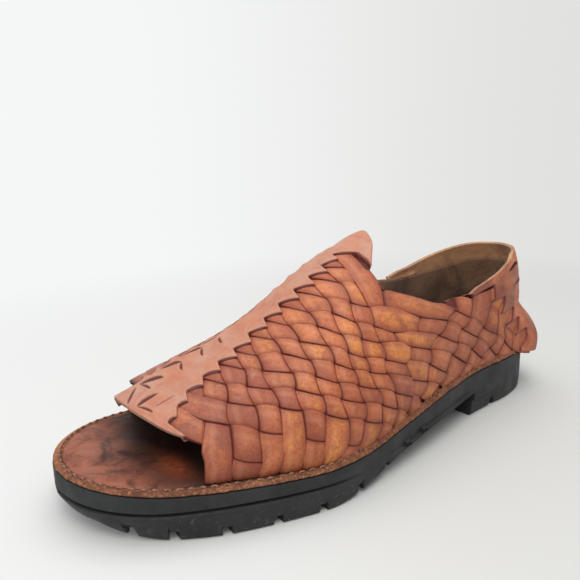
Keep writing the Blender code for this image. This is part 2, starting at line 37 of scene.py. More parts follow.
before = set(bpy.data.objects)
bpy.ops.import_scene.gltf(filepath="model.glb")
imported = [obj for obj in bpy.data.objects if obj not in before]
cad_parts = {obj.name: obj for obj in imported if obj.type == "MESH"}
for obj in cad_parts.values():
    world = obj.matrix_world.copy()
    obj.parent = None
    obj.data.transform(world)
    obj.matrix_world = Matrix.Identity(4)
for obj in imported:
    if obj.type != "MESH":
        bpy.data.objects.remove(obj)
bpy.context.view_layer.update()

# Main sizes of the shoe, metres
LENGTH = 0.292
BALL_WIDTH = 0.110
INSTEP_HEIGHT = 0.104
COLLAR_HEIGHT = 0.0885
HEEL_HEIGHT = 0.026
RIM_THICK = 0.003
FOOT_LIFT = 0.0003
HEEL_CENTRE = 0.1233 * LENGTH
FAN_RADIUS = 0.1027 * LENGTH
REAR = HEEL_CENTRE - FAN_RADIUS * math.pi / 2
HEEL_BREAST = 0.257 * LENGTH
THROAT = 0.4863 * LENGTH
BAND_REAR = 0.428 * LENGTH
TOE_EDGE = 0.9024 * LENGTH
TOE_TURN = 0.7705 * LENGTH
MM = 0.001

# Wall: heights of the bulge and the shoulder's drop as shares of the wall, and the inner side's further drop
BULGE_UP = 0.42
SHOULDER_DROP = 0.05
INNER_DROP = 0.09
# Heel cup: where it starts, its run, how far it draws the wall in and the share it is full at
CUP_START = 0.171 * LENGTH
CUP_RUN = 0.103 * LENGTH
CUP_IN = 0.005
CUP_FULL = 0.3
# Heel flare: where it starts, its run, its top, its fall, its reach, its tuck below a height, its drop
FLARE_START = 0.0300
FLARE_RUN = 0.022
FLARE_TOP = 0.0555
FLARE_FALL = 0.0195
FLARE_OUT = 0.0104
TUCK_SLOPE = 0.06
TUCK_TOP = 0.034
FLARE_DROP = 0.004
# Notches under the sole
NOTCH_HALF = 0.0019
NOTCH_DEEP = 0.0032

# Sole outline: share of length, outer and inner half width as shares of the ball width
OUTLINE = [
    (0.000, 0.000, 0.000), (0.012, 0.118, 0.114), (0.048, 0.218, 0.205), (0.120, 0.286, 0.273),
    (0.190, 0.307, 0.282), (0.257, 0.332, 0.268), (0.340, 0.386, 0.241), (0.428, 0.441, 0.236),
    (0.514, 0.495, 0.259), (0.600, 0.550, 0.332), (0.660, 0.564, 0.382), (0.728, 0.536, 0.423),
    (0.795, 0.491, 0.441), (0.856, 0.439, 0.425), (0.911, 0.373, 0.377), (0.950, 0.291, 0.305),
    (0.980, 0.186, 0.205), (0.995, 0.082, 0.100), (1.000, -0.009, 0.009),
]
# Rubber: share of length, then top and underside as shares of the heel height
RUBBER = [
    (0.000, 1.000, 0.500), (0.140, 0.981, 0.485), (0.260, 0.954, 0.462), (0.340, 0.919, 0.431),
    (0.400, 0.858, 0.377), (0.460, 0.788, 0.308), (0.530, 0.712, 0.208), (0.600, 0.673, 0.092),
    (0.660, 0.673, 0.000), (0.740, 0.692, 0.000), (0.840, 0.746, 0.000), (0.900, 0.792, 0.000),
    (0.950, 0.838, 0.062), (1.000, 0.885, 0.177),
]
# Side groove: share of length, height as a share of the heel height, share of its depth
GROOVE = [
    (0.000, 0.462, 0.000), (0.600, 0.404, 0.000), (0.640, 0.423, 0.600), (0.720, 0.442, 1.000),
    (0.850, 0.485, 1.000), (1.000, 0.554, 1.000),
]
# Notches under the sole: share of length, where they start as a share of the heel height
NOTCHES = [
    (0.182, 0.000), (0.440, 0.331), (0.490, 0.265), (0.545, 0.181), (0.612, 0.069),
    (0.683, 0.000), (0.752, 0.000), (0.822, 0.000), (0.890, 0.000), (0.942, 0.050),
]
# Upper sections: station; foot, bulge and shoulder on the outer and inner side; ridge
SECTIONS = [
    (-0.038, 0.305, 0.305, 0.027, 0.027, 0.391, 0.391, 1.048),
    (0.016, 0.286, 0.286, 0.027, 0.027, 0.364, 0.373, 1.048),
    (0.070, 0.264, 0.268, 0.027, 0.032, 0.327, 0.345, 1.043),
    (0.123, 0.259, 0.259, 0.027, 0.036, 0.309, 0.327, 1.038),
    (0.188, 0.273, 0.245, 0.027, 0.055, 0.300, 0.318, 1.029),
    (0.257, 0.300, 0.223, 0.036, 0.073, 0.300, 0.309, 1.019),
    (0.325, 0.336, 0.200, 0.045, 0.091, 0.309, 0.300, 1.010),
    (0.394, 0.377, 0.191, 0.055, 0.100, 0.309, 0.291, 1.000),
    (0.462, 0.423, 0.191, 0.064, 0.100, 0.318, 0.282, 0.971),
    (0.531, 0.473, 0.223, 0.073, 0.091, 0.327, 0.273, 0.904),
    (0.599, 0.509, 0.273, 0.059, 0.073, 0.345, 0.264, 0.798),
    (0.651, 0.518, 0.314, 0.045, 0.055, 0.345, 0.255, 0.707),
    (0.702, 0.495, 0.350, 0.036, 0.045, 0.327, 0.255, 0.635),
    (0.753, 0.455, 0.377, 0.027, 0.036, 0.300, 0.255, 0.582),
    (0.805, 0.418, 0.382, 0.023, 0.027, 0.264, 0.245, 0.534),
    (0.856, 0.382, 0.364, 0.018, 0.023, 0.245, 0.236, 0.481),
    (0.904, 0.336, 0.323, 0.018, 0.018, 0.227, 0.218, 0.438),
]
# Collar: station, woven edge and heel piece edge as shares of the collar height
COLLAR = [
    (-0.038, 0.904, 1.000), (0.016, 0.893, 0.994), (0.070, 0.859, 0.972), (0.123, 0.825, 0.932),
    (0.178, 0.802, 0.876), (0.240, 0.791, 0.831), (0.315, 0.808, 0.825), (0.363, 0.802, 0.825),
    (0.421, 0.864, 0.870), (0.478, 0.927, 0.927),
]
# Front edge of the woven wall: share of the way up, station
FRONT = [
    (0.000, 0.841), (0.150, 0.839), (0.320, 0.834), (0.420, 0.851), (0.520, 0.868),
    (0.680, 0.885), (0.840, 0.896), (1.000, 0.902),
]
# Long lines of the weave, low to high: first crossing, then station (mm) and share up at each
LONG_LINES = {
    0: (-3, [(252, .57), (250.5, .51), (248, .43), (243, .33), (234, .18), (222, .09), (212, 0)]),
    1: (-2, [(246, .66), (243, .58), (239, .5), (231, .41), (221, .32), (212, .26), (204, .2),
             (195, .14), (185, .07), (176, .03), (166, 0)]),
    2: (-1, [(240, .73), (235, .64), (228, .56), (219, .48), (210, .42), (202, .36), (193, .29),
             (183, .21), (174, .15), (162, .08), (152, 0)]),
    3: (0, [(231, .78), (225, .68), (218, .61), (210, .54), (201, .48), (192, .39), (184, .32),
            (173, .24), (162, .17), (150, .09), (139, 0)]),
    4: (1, [(222, .83), (215, .72), (209, .66), (199, .57), (191, .49), (183, .4), (174, .33),
            (164, .26), (152, .18), (138, .1), (136.5, .09), (128, .04), (118, -.02)]),
    5: (2, [(213, .86), (207, .76), (198, .69), (190, .58), (181, .49), (174, .41), (166, .35),
            (156, .29), (139, .19), (137.5, .18), (122, .1), (108, .02), (98, -.03)]),
    6: (3, [(203, .9), (197, .79), (189, .69), (180, .58), (173, .49), (166, .42), (155, .35),
            (143, .28), (137, .26), (120, .18), (102, .07), (90, 0), (80, -.05)]),
    7: (4, [(193, .92), (188, .8), (179, .69), (172, .58), (164, .5), (155, .43), (145, .38),
            (134, .32), (119, .25), (97, .15), (80, .05), (72, 0)]),
    8: (5, [(184, .93), (178, .78), (170, .69), (163, .58), (155, .51), (146, .44), (128, .36),
            (110, .29), (92, .2), (76, .12), (63, .03), (55, -.03)]),
    9: (6, [(175, .93), (168, .78), (160, .67), (153, .6), (145, .55), (122, .42), (101, .34),
            (87, .26), (70, .17), (55, .07), (46, 0), (38, -.04)]),
    10: (7, [(166, .93), (158, .79), (151.5, .73), (142, .64), (114, .485), (92, .37), (78, .3),
             (64, .21), (49, .14), (39.5, .07), (31, 0), (22, -.06)]),
}
# Upper lines at the throat, and the ones at the heel
THROAT_LINES = {
    11: (8, [(158, .93), (150, .84), (141, .75)]),
    12: (9, [(149, .95), (140, .86)]),
}
HEEL_LINES = {
    11: (11, [(108, .455), (93, .445), (74, .385), (59, .325), (48.5, .255), (42, .168), (29.5, .08), (21, 0)]),
    12: (13, [(74, .425), (55, .43), (44, .345), (31, .25), (23, .17), (19.5, .11)]),
}
# Stations (mm) where the cross lines meet the sole
FEET = {0: 245, 1: 235, 2: 224, 3: 215, 4: 206, 5: 197, 6: 189, 7: 178, 8: 166, 9: 154, 10: 141,
        11: 139, 12: 130, 13: 111, 14: 90, 15: 65, 16: 44, 17: 30, 18: 17}


def smooth(rows, col, across, up):
    """Curve through one column of a table whose shares follow two sizes."""
    xs = np.array([r[0] for r in rows], float) * across
    ys = np.array([r[col] for r in rows], float) * up
    step = np.diff(xs)
    rise = np.diff(ys) / step
    slope = np.zeros_like(ys)
    slope[1:-1] = (step[1:] * rise[:-1] + step[:-1] * rise[1:]) / (step[1:] + step[:-1])
    slope[0] = rise[0]
    slope[-1] = rise[-1]

    def curve(x, held=True):
        x = np.asarray(x, float)
        i = np.clip(np.searchsorted(xs, x) - 1, 0, len(xs) - 2)
        h = step[i]
        t = np.clip((x - xs[i]) / h, 0.0, 1.0)
        a = (2 * t**3 - 3 * t**2 + 1) * ys[i] + (t**3 - 2 * t**2 + t) * h * slope[i]
        b = (3 * t**2 - 2 * t**3) * ys[i + 1] + (t**3 - t**2) * h * slope[i + 1]
        out = a + b
        if not held:
            out = out + np.minimum(x - xs[0], 0.0) * slope[0] + np.maximum(x - xs[-1], 0.0) * slope[-1]
        return out

    return curve


def smooth_pair(rows):
    """Curves through the second and third column of a table."""
    return smooth(rows, 1, 1.0, 1.0), smooth(rows, 2, 1.0, 1.0)


rubber_top = smooth(RUBBER, 1, LENGTH, HEEL_HEIGHT)
rubber_low = smooth(RUBBER, 2, LENGTH, HEEL_HEIGHT)
groove_height = smooth(GROOVE, 1, LENGTH, HEEL_HEIGHT)
groove_share = smooth(GROOVE, 2, LENGTH, 1.0)
WIDE_CURVES = [smooth(SECTIONS, k, LENGTH, BALL_WIDTH) for k in range(1, 7)]
ridge_height = smooth(SECTIONS, 7, LENGTH, INSTEP_HEIGHT)
woven_edge = smooth(COLLAR, 1, LENGTH, COLLAR_HEIGHT)
heel_edge = smooth(COLLAR, 2, LENGTH, COLLAR_HEIGHT)
front_edge = smooth(FRONT, 1, 1.0, LENGTH)


def blend01(x, low, high):
    """Smooth step from 0 to 1 between two values."""
    t = np.clip((np.asarray(x, float) - low) / (high - low), 0.0, 1.0)
    return t * t * (3 - 2 * t)


def section(station, side, share):
    """Point on the upper: station along the foot, share of the way up."""
    station = np.asarray(station, float)
    share = np.asarray(share, float)
    k = 0 if side > 0 else 1
    foot, bulge, shoulder = [WIDE_CURVES[n + k](station) for n in (0, 2, 4)]
    ridge = ridge_height(station)
    angle = np.clip((HEEL_CENTRE - station) / FAN_RADIUS, 0.0, math.pi / 2)
    origin = np.maximum(station, HEEL_CENTRE)
    dx = -np.sin(angle)
    dy = np.cos(angle)
    base = rubber_top(origin + dx * foot) + RIM_THICK + FOOT_LIFT
    tall = ridge - base
    drop = SHOULDER_DROP
    if side < 0:
        drop = SHOULDER_DROP + INNER_DROP * np.clip((station - HEEL_CENTRE) / (THROAT - HEEL_CENTRE), 0.0, 1.0)
    w = [(1 - share) ** 3, 3 * (1 - share) ** 2 * share, 3 * (1 - share) * share**2, share**3]
    r = w[0] * foot + w[1] * (foot + bulge) + w[2] * shoulder
    z = w[0] * base + w[1] * (base + BULGE_UP * tall) + w[2] * (ridge - drop * tall) + w[3] * ridge
    cup = blend01(CUP_START - station, 0.0, CUP_RUN)
    r = r - CUP_IN * cup * blend01(share, 0.0, CUP_FULL)
    back = blend01(FLARE_START - station, 0.0, FLARE_RUN)
    fall = blend01(FLARE_TOP - z, 0.0, FLARE_FALL)
    r = r + back * (FLARE_OUT * fall - TUCK_SLOPE * np.maximum(TUCK_TOP - z, 0.0))
    z = z - FLARE_DROP * back * fall**3
    return np.stack([origin + dx * r, side * dy * r, z], -1)


def skin(station, side, share, lift):
    """The same point moved off the surface along its normal."""
    station = np.asarray(station, float)
    share = np.asarray(share, float)
    here = section(station, side, share)
    near = 0.0006
    along = section(station + near, side, share) - section(station - near, side, share)
    low = np.clip(share - 0.01, -0.05, 0.98)
    up = section(station, side, low + 0.02) - section(station, side, low)
    normal = np.cross(along, up) * side
    normal /= np.linalg.norm(normal, axis=-1)[..., None] + 1e-12
    middle = (share > 0.999) | (station < REAR + 1e-5)
    normal[..., 1] = np.where(middle, 0.0, normal[..., 1])
    normal /= np.linalg.norm(normal, axis=-1)[..., None] + 1e-12
    return here - normal * np.asarray(lift, float)[..., None]


SHARES = np.linspace(0.0, 1.0, 241)


def share_at(stations, side, heights):
    """Share of the way up at which the wall reaches each height."""
    out = []
    for s, h in zip(np.atleast_1d(stations), np.atleast_1d(heights)):
        z = section(np.full_like(SHARES, s), side, SHARES)[:, 2]
        out.append(np.interp(h, z, SHARES))
    return np.array(out)


def outline_dense(count=1200):
    """Closed outline, toe tip first, outer side, heel, inner side."""
    sides = []
    for col, sign in ((1, 1.0), (2, -1.0)):
        pts = np.array([(r[0] * LENGTH, sign * r[col] * BALL_WIDTH) for r in OUTLINE[::-1]])
        pts[0, 1] = 0.0
        run = np.r_[0.0, np.cumsum(np.hypot(*np.diff(pts, axis=0).T))]
        rows = [(a, p[0], p[1]) for a, p in zip(run, pts)]
        at = np.linspace(0.0, run[-1], count + 1)
        sides.append(np.stack([curve(at) for curve in smooth_pair(rows)], 1))
    outer, inner = sides
    return np.concatenate([outer, inner[1:-1][::-1]])


def loop_normals(loop):
    """Unit normals of a closed loop, pointing inwards."""
    run = np.roll(loop, -1, axis=0) - np.roll(loop, 1, axis=0)
    run /= np.linalg.norm(run, axis=1)[:, None]
    normal = np.stack([run[:, 1], -run[:, 0]], 1)
    if ((loop.mean(axis=0) - loop) * normal).sum() < 0:
        normal = -normal
    return normal


def add_mesh(name, verts, faces, mats, mat_ids=None):
    """Mesh object in the row's frame, riding on the root body."""
    verts = np.asarray(verts, float).copy()
    verts[:, 0] -= HEEL_CENTRE
    mesh = bpy.data.meshes.new(name)
    mesh.from_pydata([tuple(v) for v in verts], [], [tuple(int(i) for i in f) for f in faces])
    mesh.update()
    obj = bpy.data.objects.new(name, mesh)
    bpy.context.scene.collection.objects.link(obj)
    for mat in mats:
        mesh.materials.append(mat)
    if mat_ids is not None:
        mesh.polygons.foreach_set("material_index", np.asarray(mat_ids, np.int32))
    mesh.polygons.foreach_set("use_smooth", np.ones(len(mesh.polygons), bool))
    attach(obj, "root")
    return obj


def grid_faces(cols, rows, start=0, flip=False):
    """Quads of a grid whose vertices run row by row within each column."""
    i, k = np.meshgrid(np.arange(cols - 1), np.arange(rows - 1), indexing="ij")
    a = start + i * rows + k
    quads = np.stack([a, a + rows, a + rows + 1, a + 1], -1).reshape(-1, 4)
    return quads[:, ::-1] if flip else quads


def paint(obj, name, domain, values):
    """Store one colour for each point or face corner."""
    layer = obj.data.attributes.new(name, "FLOAT_COLOR", domain)
    layer.data.foreach_set("color", np.asarray(values, np.float32).ravel())


def paint_wear_and_shade(obj, *channels):
    """Store up to three marks of wear and painted shade for each point."""
    values = np.zeros((len(channels[0]), 4))
    values[:, 3] = 1.0
    values[:, :len(channels)] = np.stack(channels, 1)
    paint(obj, "worn", "POINT", values)


# Tones of wear and shadow that are the same for every choice of colours
STRIP_SCUFF = (0.60, 0.34, 0.24)
RUBBER_SCUFF = (0.17, 0.17, 0.165)
GROOVE_SHADE = (0.006, 0.006, 0.006)
NAP_SHADE = (0.012, 0.007, 0.005)
RIM_SHADOW = (0.012, 0.006, 0.005)
BED_SHADOW = (0.010, 0.006, 0.005)
WALL_NAP = (0.21, 0.11, 0.062), (0.075, 0.038, 0.022)
BAND_NAP = (0.46, 0.24, 0.16), (0.26, 0.11, 0.07)


# Node helpers

class Nodes:
    """Short way to write a node tree."""

    def __init__(self, nt):
        self.nt = nt

    def put(self, socket, value):
        """Link another node's output to a socket, or set the socket's value."""
        if isinstance(value, bpy.types.NodeSocket):
            self.nt.links.new(value, socket)
        else:
            socket.default_value = value

    def node(self, kind, given, **settings):
        """New node with its settings made and its inputs filled."""
        node = self.nt.nodes.new("ShaderNode" + kind)
        for key, value in settings.items():
            setattr(node, key, value)
        for key, value in given.items():
            self.put(node.inputs[key], value)
        return node

    def ramp(self, value, low, high, to_low=0.0, to_high=1.0):
        """Smooth step of a value between two limits."""
        given = {"Value": value, "From Min": low, "From Max": high, "To Min": to_low, "To Max": to_high}
        return self.node("MapRange", given, interpolation_type="SMOOTHSTEP").outputs["Result"]

    def math(self, kind, a, b, clamp=False):
        return self.node("Math", {0: a, 1: b}, operation=kind, use_clamp=clamp).outputs[0]

    def times(self, a, b):
        return self.math("MULTIPLY", a, b)

    def most(self, a, b, clamp=False):
        return self.math("MAXIMUM", a, b, clamp)

    def mix(self, factor, a, b):
        """Blend of two colours, each a socket or three numbers."""
        a, b = [v if isinstance(v, bpy.types.NodeSocket) else (*v, 1.0) for v in (a, b)]
        return self.node("Mix", {"Factor": factor, 6: a, 7: b}, data_type="RGBA").outputs[2]


class Tree(Nodes):
    """Nodes of a new material, placed by the object's own coordinates."""

    def __init__(self, name):
        self.mat = bpy.data.materials.new(name)
        self.mat.use_nodes = True
        super().__init__(self.mat.node_tree)
        self.bsdf = self.nt.nodes["Principled BSDF"]
        self.coord = self.node("TexCoord", {}).outputs["Object"]

    def place(self, stretch=(1, 1, 1)):
        return self.node("Mapping", {"Scale": stretch, "Vector": self.coord}).outputs["Vector"]

    def noise(self, scale, detail=3.0, rough=0.55, distort=0.0, stretch=(1, 1, 1)):
        given = {"Scale": scale, "Detail": detail, "Roughness": rough, "Distortion": distort,
                 "Vector": self.place(stretch)}
        return self.node("TexNoise", given).outputs["Fac"]

    def cloud(self, noise, low, high, to_low=0.0, to_high=1.0):
        """Noise sharpened into patches; its settings are those of noise()."""
        return self.ramp(self.noise(*noise), low, high, to_low, to_high)

    def cells(self, scale):
        given = {"Scale": scale, "Vector": self.place()}
        return self.node("TexVoronoi", given, feature="DISTANCE_TO_EDGE").outputs["Distance"]

    def attribute(self, name):
        """The four channels painted on the mesh under a name."""
        source = self.node("Attribute", {}, attribute_name=name)
        split = self.node("SeparateColor", {"Color": source.outputs["Color"]})
        return [*split.outputs[:3], source.outputs["Alpha"]]

    def bump(self, height, strength, distance, after=None):
        given = {"Strength": strength, "Distance": distance, "Height": height}
        if after is not None:
            given["Normal"] = after
        return self.node("Bump", given).outputs["Normal"]

    def finish(self, colour, rough, specular=0.5, normal=None, sheen=0.0):
        """Fill the surface shader and hand back the material."""
        given = {"Base Color": colour, "Roughness": rough, "Specular IOR Level": specular,
                 "Sheen Weight": sheen}
        if normal is not None:
            given["Normal"] = normal
        for key, value in given.items():
            self.put(self.bsdf.inputs[key], value)
        return self.mat


def woven_leather(look):
    """Strips: each crossing has its own tone, dark cut edges with painted shade along them and over the lower
    strips, a painted highlight and soft gloss.
    """
    t = Tree("woven_leather")
    start, end, across, over = t.attribute("weave")
    tone, kind, zone, _ = t.attribute("tint")
    colour = t.mix(tone, look.strip_rose, look.strip_tan)
    middle = t.times(t.ramp(across, 0.05, 0.4), t.ramp(across, 0.98, 0.6))
    gold = t.times(t.ramp(kind, 0.5, 0.95), middle)
    gold = t.times(gold, t.times(t.cloud((160.0, 3.0, 0.6, 0.6), 0.34, 0.62), 0.85))
    colour = t.mix(gold, colour, look.strip_gold)
    colour = t.mix(t.times(t.cloud((70.0, 4.0, 0.62, 0.5), 0.38, 0.7), 0.5), colour, look.strip_deep)
    colour = t.mix(t.times(t.cloud((240.0, 3.0, 0.6, 0.3), 0.56, 0.72), 0.16), colour, STRIP_SCUFF)
    colour = t.mix(t.times(zone, t.cloud((95.0, 4.0, 0.6, 0.8), 0.34, 0.6, 0.15, 1.0)), colour, look.strip_plum)
    colour = t.mix(t.times(t.cloud((820.0, 3.0, 0.75), 0.44, 0.62), 0.38), colour, look.strip_deep)
    # Painted shade where a strip comes out from under or dives below another, strong along its right and lower
    # side and softer on its left, and over the strips that lie below; the cut edges are also dark in their own
    # right.
    ends = t.most(t.ramp(start, 0.02, 0.12, 1.0, 0.0), t.ramp(end, 0.0, 0.06, 0.6, 0.0))
    sides = t.most(t.ramp(across, 0.92, 0.985, 0.0, 1.0), t.ramp(across, 0.01, 0.05, 0.5, 0.0))
    dark = t.most(t.most(ends, sides), t.times(t.math("SUBTRACT", 1.0, over), 0.85), True)
    # Painted shade towards the start, the right side and the end of each stretch on top.
    near = t.most(t.ramp(start, 0.0, 0.4, 0.7, 0.0), t.ramp(across, 0.62, 1.0, 0.0, 0.6))
    near = t.most(near, t.ramp(end, 0.0, 0.3, 0.55, 0.0))
    # Painted highlight on the upper left of each strip's middle.
    shine = t.times(t.ramp(across, 0.12, 0.45), t.ramp(across, 0.5, 0.2))
    colour = t.mix(t.times(shine, 0.45), colour, look.strip_highlight)
    colour = t.mix(near, colour, look.strip_deep)
    colour = t.mix(dark, colour, look.strip_edge_and_shade)
    normal = t.bump(t.times(dark, -1.0), 0.35, 0.0004)
    normal = t.bump(t.cells(900.0), 0.12, 0.0002, normal)
    normal = t.bump(t.noise(1500.0, 3.0, 0.7), 0.18, 0.0002, normal)
    return t.finish(colour, t.cloud((130.0, 3.0), 0.3, 0.7, 0.42, 0.62), 0.3, normal)


def sheet_leather(name, look, pale, mid, deep):
    """Smooth leather sheet with painted shade in its slits and along its cut edges, and pale raw edges."""
    t = Tree(name)
    depth, raw = t.attribute("worn")[:2]
    colour = t.mix(t.cloud((38.0, 4.0, 0.6, 0.4), 0.36, 0.66), mid, pale)
    colour = t.mix(t.times(t.cloud((110.0, 4.0, 0.62, 0.8), 0.38, 0.68), 0.5), colour, deep)
    colour = t.mix(t.times(t.cloud((260.0, 4.0, 0.7, 1.2, (1, 3, 1)), 0.6, 0.75), 0.35), colour, deep)
    colour = t.mix(raw, colour, look.band_pale)
    # Painted shade in the slits and along the cut edges.
    colour = t.mix(depth, colour, look.strip_edge_and_shade)
    normal = t.bump(t.noise(1300.0, 3.0, 0.7), 0.2, 0.0002)
    normal = t.bump(t.noise(420.0, 4.0, 0.65), 0.3, 0.0005, normal)
    return t.finish(colour, t.cloud((150.0, 3.0), 0.3, 0.7, 0.45, 0.68), 0.4, normal)


def napped_leather(name, pale, deep):
    """Suede-like inner side of the leather, darkened by painted shade where it is marked."""
    t = Tree(name)
    depth = t.attribute("worn")[0]
    colour = t.mix(t.cloud((45.0, 5.0, 0.65, 0.6), 0.35, 0.68), deep, pale)
    colour = t.mix(t.times(t.cloud((700.0, 4.0, 0.75), 0.4, 0.65), 0.35), colour, deep)
    # Painted shade, deepest low down inside the wall.
    colour = t.mix(depth, colour, NAP_SHADE)
    return t.finish(colour, 0.9, 0.2, t.bump(t.noise(1100.0, 4.0, 0.8), 0.5, 0.0004), 0.15)


def rim_leather(look):
    """Raw, fuzzy edge of the leather board, orange where it is rubbed."""
    t = Tree("rim_leather")
    rub, under = t.attribute("worn")[:2]
    colour = t.mix(t.cloud((160.0, 5.0, 0.7, 0.8), 0.36, 0.66), look.rim_dark, look.rim_brown)
    colour = t.mix(t.times(t.cloud((620.0, 3.0, 0.75), 0.5, 0.66), 0.65), colour, look.rim_worn)
    colour = t.mix(t.times(rub, 0.8), colour, look.rim_worn)
    colour = t.mix(under, colour, RIM_SHADOW)
    return t.finish(colour, 0.85, 0.25, t.bump(t.noise(520.0, 5.0, 0.8), 0.8, 0.0009))


def footbed_leather(look):
    """Dark, foot-worn leather, dusty at the toe."""
    t = Tree("footbed_leather")
    dust, warm, shade, _ = t.attribute("worn")
    colour = t.mix(t.cloud((34.0, 5.0, 0.65, 0.9), 0.36, 0.66), look.bed_dark, look.bed_brown)
    colour = t.mix(t.times(t.cloud((90.0, 4.0, 0.7, 1.5), 0.42, 0.62), 0.55), colour, look.bed_dark)
    colour = t.mix(t.times(dust, t.cloud((75.0, 5.0, 0.7, 0.7), 0.3, 0.62)), colour, look.bed_dust)
    blotch = t.cloud((150.0, 4.0, 0.7, 1.2), 0.36, 0.60, 0.15, 0.85)
    colour = t.mix(t.times(warm, blotch), colour, look.bed_warm)
    colour = t.mix(shade, colour, BED_SHADOW)
    normal = t.bump(t.noise(900.0, 4.0, 0.7), 0.25, 0.0003)
    normal = t.bump(t.noise(120.0, 4.0, 0.6, 0.8), 0.35, 0.0008, normal)
    return t.finish(colour, t.cloud((60.0, 4.0), 0.3, 0.7, 0.45, 0.7), 0.22, normal)


def moulded_rubber(look):
    """Charcoal rubber with a satin skin, scuffed low down, with painted shade in the side groove."""
    t = Tree("moulded_rubber")
    low, groove = t.attribute("worn")[:2]
    colour = t.mix(t.cloud((55.0, 5.0, 0.65, 0.5), 0.36, 0.68), look.rubber_dark, look.rubber_grey)
    scuff = t.times(t.cloud((330.0, 4.0, 0.75, 0.8), 0.55, 0.72), low)
    colour = t.mix(t.times(scuff, 0.5), colour, RUBBER_SCUFF)
    # Painted shade in the side groove.
    colour = t.mix(groove, colour, GROOVE_SHADE)
    normal = t.bump(t.noise(1000.0, 3.0, 0.7), 0.18, 0.0003)
    normal = t.bump(t.noise(170.0, 4.0, 0.6), 0.2, 0.0006, normal)
    return t.finish(colour, t.cloud((90.0, 4.0), 0.3, 0.7, 0.5, 0.72), 0.38, normal)


def thread(look):
    """Waxed thread of the rim's seam."""
    t = Tree("seam_thread")
    twist = t.cloud((900.0, 2.0, 0.6, 0.0, (1, 1, 3)), 0.35, 0.65)
    colour = t.mix(twist, look.thread_shade, look.thread_rose)
    return t.finish(colour, 0.7, normal=t.bump(twist, 0.4, 0.0002))


# Weave

# Station, and the share at which the outer weave meets the band; the inner weave reaches up to one share
WEAVE_TOP = ([0.149, 0.158, 0.193, 0.203, 0.213, 0.222, 0.231, 0.240, 0.246, 0.252],
             [0.95, 0.93, 0.92, 0.90, 0.86, 0.83, 0.78, 0.73, 0.66, 0.57])
INNER_TOP = 0.975


def lean_share(station, share):
    """On the inner side the weave reaches up to the ridge, where the band's far edge lies."""
    share = np.asarray(share, float)
    top = np.interp(station, *WEAVE_TOP)
    low = share + (INNER_TOP - top) * np.clip(share / top, 0.0, 1.0) ** 2
    high = INNER_TOP + (share - top) * (1 - INNER_TOP) / (1 - top)
    return share + blend01(station, 0.118, 0.150) * (np.where(share <= top, low, high) - share)


@cache
def collar_cap(side):
    """Greatest share a strip may reach along the collar, by station."""
    stations = np.linspace(REAR, THROAT - 0.0008, 60)
    caps = share_at(stations, side, woven_edge(stations))
    return np.append(stations, THROAT - 0.0004), np.append(caps, 1.0)


def line_curve(points, first):
    """Station and share along one line, by crossing number."""
    at = np.arange(len(points)) + first
    rows = [(a, p[0] * MM, p[1]) for a, p in zip(at, points)]
    return smooth_pair(rows)


def crossings():
    """Station and share of every crossing, by (cross line, long line)."""
    found = {}
    for table in (LONG_LINES, THROAT_LINES, HEEL_LINES):
        for row, (first, points) in table.items():
            for k, p in enumerate(points):
                found[(first + k, row)] = (p[0] * MM, p[1])
    return found


CROSSINGS = crossings()


def cross_line(col):
    """A cross line by long-line number, carried down to the sole, and where it starts."""
    rows = sorted((row, p) for (c, row), p in CROSSINGS.items() if c == col and p[1] > 0.012)
    lowest, point = rows[0]
    rest = max(point[1] / 0.085, 0.2)
    foot = FEET[col] * MM
    pts = [(lowest - rest, foot, 0.0)]
    if point[1] > 0.2:
        pts.append((lowest - rest * 0.5, 0.45 * foot + 0.55 * point[0], point[1] * 0.5))
    pts += [(r, p[0], p[1]) for r, p in rows]
    return *smooth_pair(pts), lowest - rest


def long_line(row, heel=False):
    """A long line by cross-line number, and where it ends."""
    table = LONG_LINES if row in LONG_LINES else HEEL_LINES if heel else THROAT_LINES
    first, points = table[row]
    return *line_curve(points, first), first + len(points) - 1


def cross_number(place):
    """Number of the cross strip at a place between two cross lines, 0 where there is none."""
    if place < 0 or 10 <= place < 11 or place >= 18:
        return 0
    return int(place) + 1 if place < 10 else int(place)


def long_number(place):
    """Number of the long strip at a place between two long lines, 0 where there is none."""
    number = math.floor(place) + 1
    return number if 1 <= number <= 12 else 0


def cross_over(col, place):
    """1 where a cross strip lies on top or has nothing to cross, 0 where it lies below."""
    row = long_number(place)
    if row == 0 or (row == 1 and col >= 3) or (col == 10 and row == 11) or (col >= 13 and row == 12):
        return 1.0
    return 1.0 - (col + row) % 2


def long_over(row, place):
    """1 where a long strip lies on top or has nothing to cross, 0 where it lies below."""
    col = cross_number(place)
    if col == 0:
        return 1.0
    if (row == 11 and col == 10) or (row == 12 and col >= 13):
        return 0.0
    return float((col + row) % 2)


def strip_runs(low, high, over_at):
    """Stretches of a strip that lie above or below without a break."""
    inner = range(math.ceil(low + 1e-6), math.floor(high - 1e-6) + 1)
    cuts = [low] + [float(k) for k in inner] + [high]
    runs = []
    for a, b in zip(cuts[:-1], cuts[1:]):
        o = over_at((a + b) / 2)
        if runs and runs[-1][2] == o:
            runs[-1][1] = b
        else:
            runs.append([a, b, o])
    return runs


# A strip's profile: places across its width and how far each lies above its middle, in thicknesses
ACROSS = np.array([0.0, 0.0, 0.014, 0.04, 0.10, 0.28, 0.5, 0.72, 0.90, 0.96, 0.986, 1.0, 1.0])
CROWN = np.array([-1.0, -0.35, -0.12, -0.03, 0.0, 0.07, 0.10, 0.07, 0.0, -0.03, -0.12, -0.35, -1.0])
STEPS = 9
RISE_RUN = 0.17


